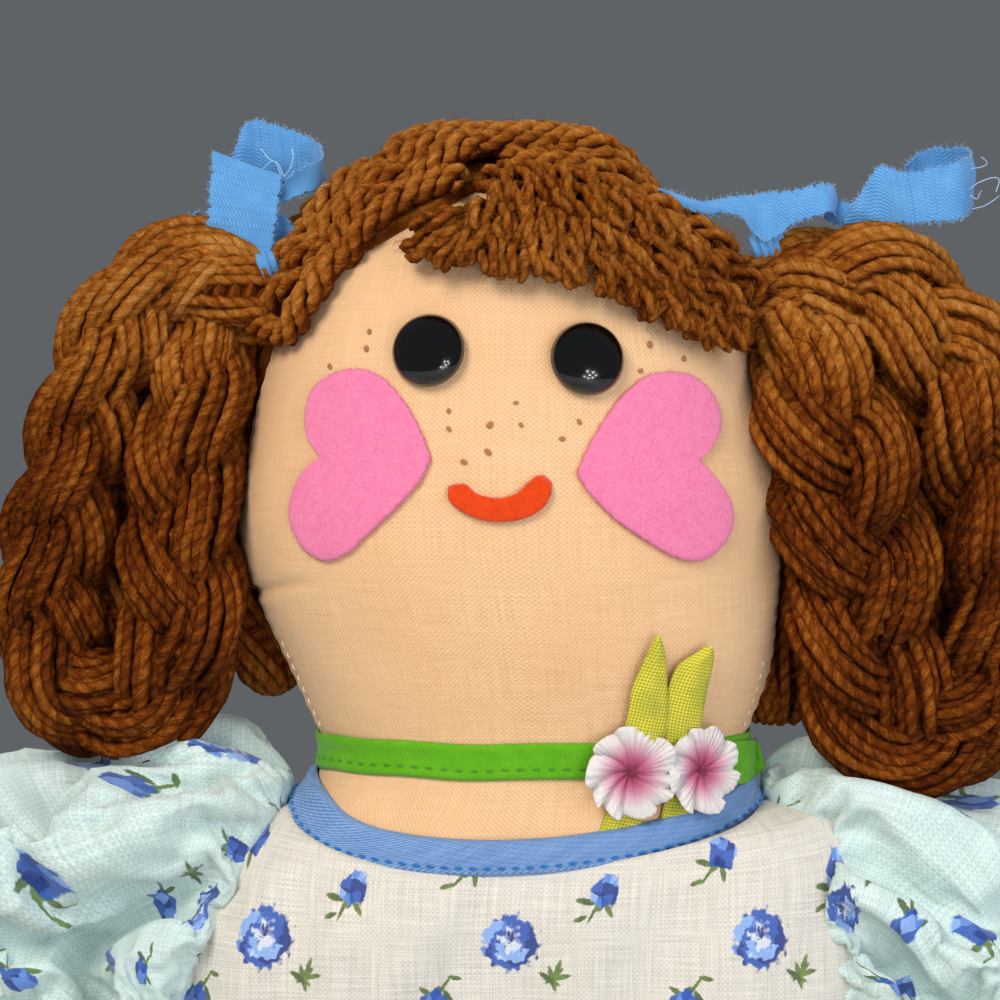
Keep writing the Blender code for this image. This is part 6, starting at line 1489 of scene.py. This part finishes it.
for label, tail in pigtails.items():
    # a three-strand plait folded into a loop: each strand swings from side to side once a period and twice as often
    # in depth, a third of a period after the one before it
    length = distances(smoothCurve([p[:3] for p in tail["path"]], 400))[-1]
    count = int(length / yarnLook["step"])
    rows = smoothCurve(tail["path"], count)
    centre, swing, sink, radius, turned = rows[:, :3], rows[:, 3], rows[:, 4], rows[:, 5], np.radians(rows[:, 6])
    _, side, depth = axesAlong(rows[:, :3], toFront)
    flat = np.cos(turned)[:, None] * side + np.sin(turned)[:, None] * depth
    thin = np.cos(turned)[:, None] * depth - np.sin(turned)[:, None] * side
    travelled = np.linspace(0, length, count)
    strands = []
    for k in range(3):
        phase = turn * (travelled / tail["period"] + k / 3) + tail["phase"]
        strand = centre + (swing * np.sin(phase))[:, None] * flat + (sink * np.sin(2 * phase))[:, None] * thin
        yarns = bundle(strand, thin, radius, tail["yarns"], turn / 0.17, tail["thick"], 0.17)
        thick = np.full((tail["yarns"], count), tail["thick"])
        # painted light and shade: yarns on the outside of the plait are coloured lighter, as if they caught the light,
        # and those in its middle and towards its lower end darker, as painted shade; each yarn's tone also differs at
        # random
        out = np.linalg.norm(yarns - centre[None], axis=2) / (swing + radius)[None]
        low = softStep((0.318 - yarns[..., 2]) / 0.062)
        shades = chance.uniform(-0.5, 0.5, (tail["yarns"], 1)) + 1.8 * (np.clip(out, 0.3, 1) - 1) + 0.75 - 2.0 * low
        made = yarnRun(f"{label}_pigtail_strand_{k + 1}", yarns, thin, thick, shades)
        put(made, label + "_pigtail", [label + "_pigtail"])
        inside = yarnRun(f"{label}_pigtail_filling_{k + 1}", strand[None], thin, radius - tail["thick"] * 1.6,
                         *fillingLook)
        put(inside, label + "_pigtail")
        strands.append(yarns)
    for part, body in (("behind", label + "_pigtail"), ("over_tie", label + "_pigtail"), ("nape", "doll")):
        rows = smoothCurve(tail[part], 90)
        amount = int(rows[:, 3].max() * turn / (tail["thick"] * 2.05))
        yarns = bundle(rows[:, :3], toFront, rows[:, 3], amount, turn / 0.20, tail["thick"])
        # painted shade: the bundles behind the loop and at the nape are coloured darker than the one over the tie, as
        # they lie in shade; each yarn's tone also differs at random
        shades = chance.uniform(-0.8, 0.3 if part == "over_tie" else -0.1, (amount, 1)) - 0.5 * (part == "nape")
        put(yarnRun(f"{label}_hair_{part}", yarns, toFront, tail["thick"], shades), body)
        inside = yarnRun(f"{label}_hair_{part}_filling", rows[None, :, :3], toFront, rows[:, 3] - tail["thick"] * 1.6,
                         *fillingLook)
        put(inside, body)
    everywhere = np.concatenate([s.reshape(-1, 3) for s in strands])
    middles = np.tile(centre, (len(everywhere) // count, 1))
    picked = chance.choice(len(everywhere), 4000, replace=False)
    away = unit(everywhere[picked] - middles[picked])
    # painted highlight: the loose fibres are coloured lighter than most of the yarn
    fuzz = fuzzRun(label + "_pigtail_fuzz", everywhere[picked] + away * 0.001, away, 0.0048, 0.3, 0.00005)
    put(fuzz, label + "_pigtail")
print("pigtails made")


def castOn(ways, lift):
    # where rays from the middle of the head leave it, by halving; then out from the skin by the lift
    ways = unit(np.asarray(ways, float))
    low, high = np.full(ways.shape[:-1], 0.005), np.full(ways.shape[:-1], 0.13)
    form = forms["head"]
    for _ in range(24):
        middle = (low + high) / 2
        points = headMiddle + ways * middle[..., None]
        (a, b, lean), _ = sectionAt(form, points[..., 2])
        reach = (np.abs((points[..., 0] - lean) / np.maximum(a, 1e-5)) ** forms["roundness"]
                 + np.abs(points[..., 1] / np.maximum(b, 1e-5)) ** forms["roundness"])
        outside = (reach > 1) | (points[..., 2] > form["base"] + form["height"])
        high = np.where(outside, middle, high)
        low = np.where(outside, low, middle)
    points = headMiddle + ways * low[..., None]
    return points + ways * np.broadcast_to(lift, points.shape[:-1])[..., None]


crown = {
    "cords": 27, "yarns": 3, "thick": 0.00185, "coil": 0.0023, "pitch": 0.017, "lift": 0.0044,
    # ways out from the middle of the head, from the parting to the tie: the front hairline first, the nape last
    "right": (
        ((-0.0100, -0.025, 0.066), (-0.0310, -0.024, 0.056), (-0.044, -0.026, 0.0440), (-0.057, -0.021, 0.0335),
         (-0.0625, -0.013, 0.0330), (-0.063, -0.006, 0.0400)),
        ((-0.0050, -0.013, 0.073), (-0.0230, -0.016, 0.067), (-0.038, -0.018, 0.0570), (-0.050, -0.016, 0.0480),
         (-0.0580, -0.010, 0.0430), (-0.063, -0.006, 0.0415)),
        ((-0.0015, 0.003, 0.075), (-0.0200, 0.002, 0.0705), (-0.036, 0.000, 0.0620), (-0.048, -0.002, 0.0540),
         (-0.0570, -0.004, 0.0480), (-0.063, -0.006, 0.0430)),
        ((-0.0015, 0.023, 0.068), (-0.0220, 0.025, 0.062), (-0.040, 0.023, 0.0540), (-0.052, 0.015, 0.0480),
         (-0.0590, 0.004, 0.0450), (-0.063, -0.004, 0.0430)),
        ((-0.0015, 0.040, 0.030), (-0.0250, 0.040, 0.030), (-0.044, 0.033, 0.0340), (-0.056, 0.022, 0.0370),
         (-0.0620, 0.008, 0.0390), (-0.064, -0.003, 0.0400)),
        ((-0.0015, 0.041, -0.038), (-0.0280, 0.041, -0.032), (-0.051, 0.034, -0.0140), (-0.063, 0.021, 0.0060),
         (-0.0650, 0.008, 0.0260), (-0.064, -0.003, 0.0380))),
    "left": (
        ((-0.0060, -0.025, 0.066), (0.0200, -0.026, 0.060), (0.040, -0.027, 0.0490), (0.055, -0.022, 0.0380),
         (0.0610, -0.013, 0.0340), (0.063, -0.006, 0.0400)),
        ((0.0020, -0.013, 0.073), (0.0220, -0.016, 0.067), (0.038, -0.018, 0.0580), (0.050, -0.016, 0.0490),
         (0.0580, -0.010, 0.0440), (0.063, -0.006, 0.0415))),
}
crown["left"] += tuple(tuple((-x, y, z) for x, y, z in way) for way in crown["right"][2:])  # the rest is the same


def cordSet(paths, outward, thick, coil, pitch, yarns):
    # each path becomes a cord: yarns wound round it side by side, once every pitch
    _, side, up = axesAlong(paths, outward)
    travelled = distances(paths)
    spin = chance.uniform(0, turn, (len(paths), 1)) + travelled * turn / pitch
    made = []
    for k in range(yarns):
        reach = coil * (1 + 0.15 * np.sin(travelled / 0.007 + k))
        made.append(paths + reach[..., None] * circle(spin + k / yarns * turn, side, up))
    return np.concatenate(made)


crownPaths, crownAway = [], []
for label in ("right", "left"):
    curves = np.array([smoothCurve(curve, 48) for curve in crown[label]])
    # between the six ways, cords at even steps along the arc that the parting makes over the head
    fine = np.linspace(0, 1, 121)
    padded = withEnds(curves)

    def between(share):
        at = np.clip(share * (len(curves) - 1), 0, len(curves) - 1 - 1e-9)
        return throughFour(*padded[int(at):int(at) + 4], at - int(at))

    arc = castOn(np.array([between(share)[14] for share in fine]), 0.004)
    travelled = distances(arc)
    shares = np.interp(np.linspace(0, travelled[-1], crown["cords"]), travelled, fine)
    for i, share in enumerate(shares):
        ways = between(share)
        t = np.linspace(0, 1, len(ways))
        wave = chance.uniform(0, turn, 3)
        lift = crown["lift"] + 0.0010 * np.sin(t * 19 + wave[0]) + 0.0007 * (i % 2) + 0.0016 * softStep((t - 0.75) * 4)
        ways = ways + 0.0022 * np.sin(t * 17 + wave[1])[:, None] * np.array([0.3, 0.6, 0.8])
        points = castOn(ways, lift)
        bumps = 0.0042 * bell(points[:, 0] + 0.0155, 0.012) + 0.0030 * bell(points[:, 0] - 0.018, 0.013)
        bumps = bumps * bell(points[:, 1] + 0.004, 0.020) * (points[:, 2] > 0.30) + 0.0013 * ripple(points, 0.022, 91)
        bumps = bumps - 0.0052 * softStep((points[:, 0] - 0.022) / 0.018) * softStep((points[:, 2] - 0.295) / 0.012)
        points = castOn(ways, lift + bumps)
        crownPaths.append(smoothCurve(points, 96))
# short locks laid across the parting on top
t = np.linspace(0, 1, 48)
for i, y in enumerate(np.linspace(-0.013, 0.034, 9)):
    sway = chance.uniform(-0.006, 0.006, 2)
    ways = np.stack([0.020 * (2 * t - 1) + sway[0], y + sway[1] * t + 0.002 * np.sin(9 * t + i),
                     0.074 - 0.2 * abs(y) + 0 * t], 1)
    crownPaths.append(smoothCurve(castOn(ways, 0.0046 + 0.0034 * np.sin(math.pi * t) + 0.0008 * (i % 2)), 96))
crownPaths = np.array(crownPaths)
away = unit(crownPaths - np.array([0, 0, 0.268]))
yarns = cordSet(crownPaths, away, crown["thick"], crown["coil"], crown["pitch"], crown["yarns"])
shades = np.tile(chance.uniform(-0.45, 0.45, len(crownPaths)), crown["yarns"])[:, None] + chance.uniform(
    -0.2, 0.2, (len(yarns), 1))
away = unit(yarns - np.array([0, 0, 0.268]))
order = np.arange(len(yarns)) % len(crownPaths) < len(crownPaths) // 2
for label, chosen in (("right", order), ("left", ~order)):
    made = yarnRun(label + "_crown_hair", yarns[chosen], away[chosen], crown["thick"], shades[chosen])
    put(made, "doll", ["hair_cap"])
picked = chance.integers(0, len(yarns), 5400), chance.integers(3, 92, 5400)
# painted highlight: the loose fibres are coloured lighter than most of the yarn
fuzz = fuzzRun("crown_fuzz", yarns[picked] + away[picked] * 0.0012, away[picked], 0.0048, 0.35, 0.00005)
put(fuzz, "doll")
# under the cords lies a close layer of yarn, coloured dark as painted shade, so that no cloth shows between them. Its
# rays swing from straight up to the hairline all round
mat = {"lift": 0.0026, "rows": 34, "around": 120, "shade": -0.8, "hairline": (
    (-180, 0.22), (-135, 0.28), (-112, 0.42), (-95, 0.62), (-75, 0.735), (-50, 0.815), (-30, 0.885), (-12, 0.945),
    (10, 0.940), (35, 0.905), (60, 0.815), (80, 0.705), (97, 0.60), (112, 0.42), (135, 0.28), (180, 0.22))}
angles = turns(mat["around"])
degrees = (np.degrees(angles) + 90 + 180) % 360 - 180
edge = forms["head"]["base"] + forms["head"]["height"] * np.interp(degrees, *np.array(mat["hairline"]).T)
edgeWays = unit(roundForm(forms["head"], angles, edge) - headMiddle)
share = np.linspace(0.02, 1, mat["rows"])[:, None, None]
ways = unit((1 - share) * np.array([0, 0, 1.0]) + share * edgeWays[None])
outer = castOn(ways, mat["lift"] * np.minimum(1, (1.0 - share[..., 0]) * 30 + 0.35))
inner = castOn(ways[::-1], 0.0003)
under = closedForm("crown_underlayer", np.concatenate([outer, inner])[::-1], yarn)
shades = under.data.attributes.new("shade", "FLOAT", "POINT")
shades.data.foreach_set("value", np.full(len(under.data.vertices), mat["shade"]))
put(under, "doll", ["hair_cap"])
print("crown made")

fringe = {"yarns": 5, "thick": 0.0014, "coil": 0.0027, "tufts": (
    # each tuft in pixels of the photograph: root, end, how far its end stands off the forehead in millimetres
    (482, 236, 411, 262, 4.0), (478, 228, 420, 246, 5.0), (486, 246, 437, 274, 3.6), (498, 232, 462, 270, 4.5),
    (505, 236, 487, 282, 3.4), (522, 240, 512, 284, 3.6), (540, 238, 534, 283, 3.2), (552, 242, 556, 286, 3.6),
    (570, 246, 578, 292, 3.2), (590, 252, 601, 303, 3.4), (608, 262, 620, 315, 3.4), (628, 272, 641, 327, 3.2),
    (648, 284, 662, 337, 3.4), (668, 296, 684, 345, 3.2), (690, 308, 703, 352, 3.2), (708, 318, 720, 356, 3.4),
    (500, 214, 478, 246, 6.0), (515, 212, 503, 254, 6.0), (532, 214, 524, 258, 6.2), (550, 214, 548, 258, 6.2),
    (566, 220, 572, 264, 6.0), (584, 224, 596, 272, 6.0), (604, 232, 618, 284, 6.0), (624, 242, 640, 296, 6.0),
    (644, 254, 660, 308, 6.0), (664, 266, 682, 320, 5.8), (684, 278, 704, 330, 5.6), (702, 290, 722, 338, 5.4),
    (506, 190, 498, 228, 7.5), (524, 188, 520, 232, 8.0), (543, 188, 541, 230, 8.4), (560, 190, 562, 234, 8.4),
    (578, 194, 586, 240, 8.2), (598, 202, 610, 250, 8.0), (618, 210, 634, 262, 8.0), (638, 220, 656, 276, 7.0),
    (658, 236, 678, 290, 6.4), (678, 252, 702, 304, 5.8), (700, 264, 724, 318, 5.4), (676, 238, 714, 276, 5.4))}
tufts = np.array(fringe["tufts"], float)
tufts[:, :4] += chance.uniform(-2.5, 2.5, (len(tufts), 4))
t = np.linspace(0, 1, 30)
bend = chance.uniform(-7, 7, len(tufts))
pixels = tufts[:, None, 0:2] * (1 - t[:, None]) + tufts[:, None, 2:4] * t[:, None]
pixels[..., 0] += bend[:, None] * np.sin(t * math.pi)
rise = (0.0030 + 0.0012 * np.sin(t * math.pi)) * np.ones((len(tufts), 1)) + tufts[:, 4:5] * 0.001 * np.sin(
    np.clip(t * 1.15, 0, 1) * math.pi * 0.62) ** 1.2 * 0.8
paths = onFace(pixels, rise)
away = formNormals(forms["head"], paths)
cords = []
travelled = distances(paths)
_, side, up = axesAlong(paths, away)
for k in range(fringe["yarns"]):
    angle = chance.uniform(0, 0.9, (len(paths), 1)) + travelled * turn / 0.030 + k / (fringe["yarns"] - 1) * turn
    reach = fringe["coil"] * (1 - 0.30 * t ** 6) * (0.0 if k == fringe["yarns"] - 1 else 1.0)
    wave = 0.0009 * np.sin(travelled / 0.0016 + chance.uniform(0, turn, (len(paths), 1)))
    cords.append(paths + (reach + wave)[..., None] * circle(angle, side, up))
cords = np.concatenate(cords)
away = np.tile(away, (fringe["yarns"], 1, 1))
shades = chance.uniform(-0.75, 0.3, (len(cords), 1))
fringeHair = yarnRun("fringe_tufts", cords, away, fringe["thick"] * (1 - 0.2 * t ** 4), shades)
put(fringeHair, "doll", ["fringe"])
picked = chance.integers(0, len(cords), 5600), (30 * chance.uniform(0, 1, 5600) ** 0.6).astype(int)
ends = unit(np.gradient(cords, axis=1)[picked]) * 0.8 + away[picked]
# painted highlight: the loose fibres are coloured lighter than most of the yarn
fuzz = fuzzRun("fringe_fuzz", cords[picked] + away[picked] * 0.001, unit(ends), 0.0050, 0.4, 0.00006)
put(fuzz, "doll")
print("fringe made")


# ---- the stage: a plain floor, a plain backdrop colour and soft studio light

stage = {"floor": "b9bcbd", "backdrop": "5f6366", "radius": 0.62, "ambient": 0.44}
floorMaterial, tree, shader = startMaterial("studio floor", {"Roughness": 0.9, "Specular IOR Level": 0.1})
place = objectPlace(tree)
grain = noise(tree, place, 40.0, 4.0)
tree.links.new(tint(tree, grain, "b6b9ba", "bbbebf", 0.3, 0.7), shader.inputs["Base Color"])
a = turns(128)
rim = stage["radius"] * np.stack([np.cos(a), np.sin(a), 0 * a], 1)
floor = meshPiece("studio_floor", np.vstack([rim, [[0, 0, 0]]]),
                  np.stack([np.arange(128), (np.arange(128) + 1) % 128, np.full(128, 128)], 1), None, floorMaterial,
                  smooth=False)

world = bpy.data.worlds.new("studio")
bpy.context.scene.world = world
world.use_nodes = True
tree = world.node_tree
tree.nodes.clear()
ways = addNode(tree, "LightPath")
seen = calc(tree, "MAXIMUM", ways.outputs["Is Camera Ray"], ways.outputs["Is Transmission Ray"])
seen = calc(tree, "MAXIMUM", seen, ways.outputs["Is Glossy Ray"])
ambient = addNode(tree, "Background", {"Color": hexColour("eef2f6"), "Strength": stage["ambient"]})
backdrop = addNode(tree, "Background", {"Color": hexColour(stage["backdrop"]), "Strength": 1.0})
either = addNode(tree, "MixShader", {0: seen, 1: ambient, 2: backdrop})
output = tree.nodes.new("ShaderNodeOutputWorld")
tree.links.new(either.outputs[0], output.inputs["Surface"])


def softBox(name, at, aim, size, power, colour, shine=False):
    light = bpy.data.lights.new(name, "AREA")
    light.shape, light.size, light.energy, light.color = "SQUARE", size, power, colour[:3]
    made = bpy.data.objects.new(name, light)
    bpy.context.scene.collection.objects.link(made)
    made.location = at
    made.visible_glossy = shine
    way = np.array(aim, float) - np.array(at, float)
    made.rotation_euler = (math.atan2(math.hypot(way[0], way[1]), -way[2]), 0, math.atan2(way[0], -way[1]) + math.pi)


softBox("key_light", (-0.55, -0.95, 1.05), (0, 0, 0.24), 0.55, 13.0, hexColour("fff6ea"))
softBox("fill_light", (0.85, -0.80, 0.55), (0, 0, 0.24), 0.8, 4.5, hexColour("eef4ff"))
softBox("back_light", (0.3, 0.95, 0.9), (0, 0, 0.24), 0.7, 5.0, hexColour("ffffff"))
# a few small lamps low in front give the buttons their cluster of glints
lamps = ((0.10, -0.62, 0.07), (0.18, -0.60, 0.03), (0.27, -0.57, 0.05), (0.33, -0.54, 0.12), (0.27, -0.58, 0.19),
         (0.17, -0.62, 0.21), (0.21, -0.60, 0.12))
for i, at in enumerate(lamps):
    softBox(f"low_lamp_{i + 1}", at, (0, 0, 0.28), 0.045 if i < 6 else 0.03, 0.10, hexColour("ffffff"), True)
bpy.context.scene.view_settings.view_transform = "Standard"
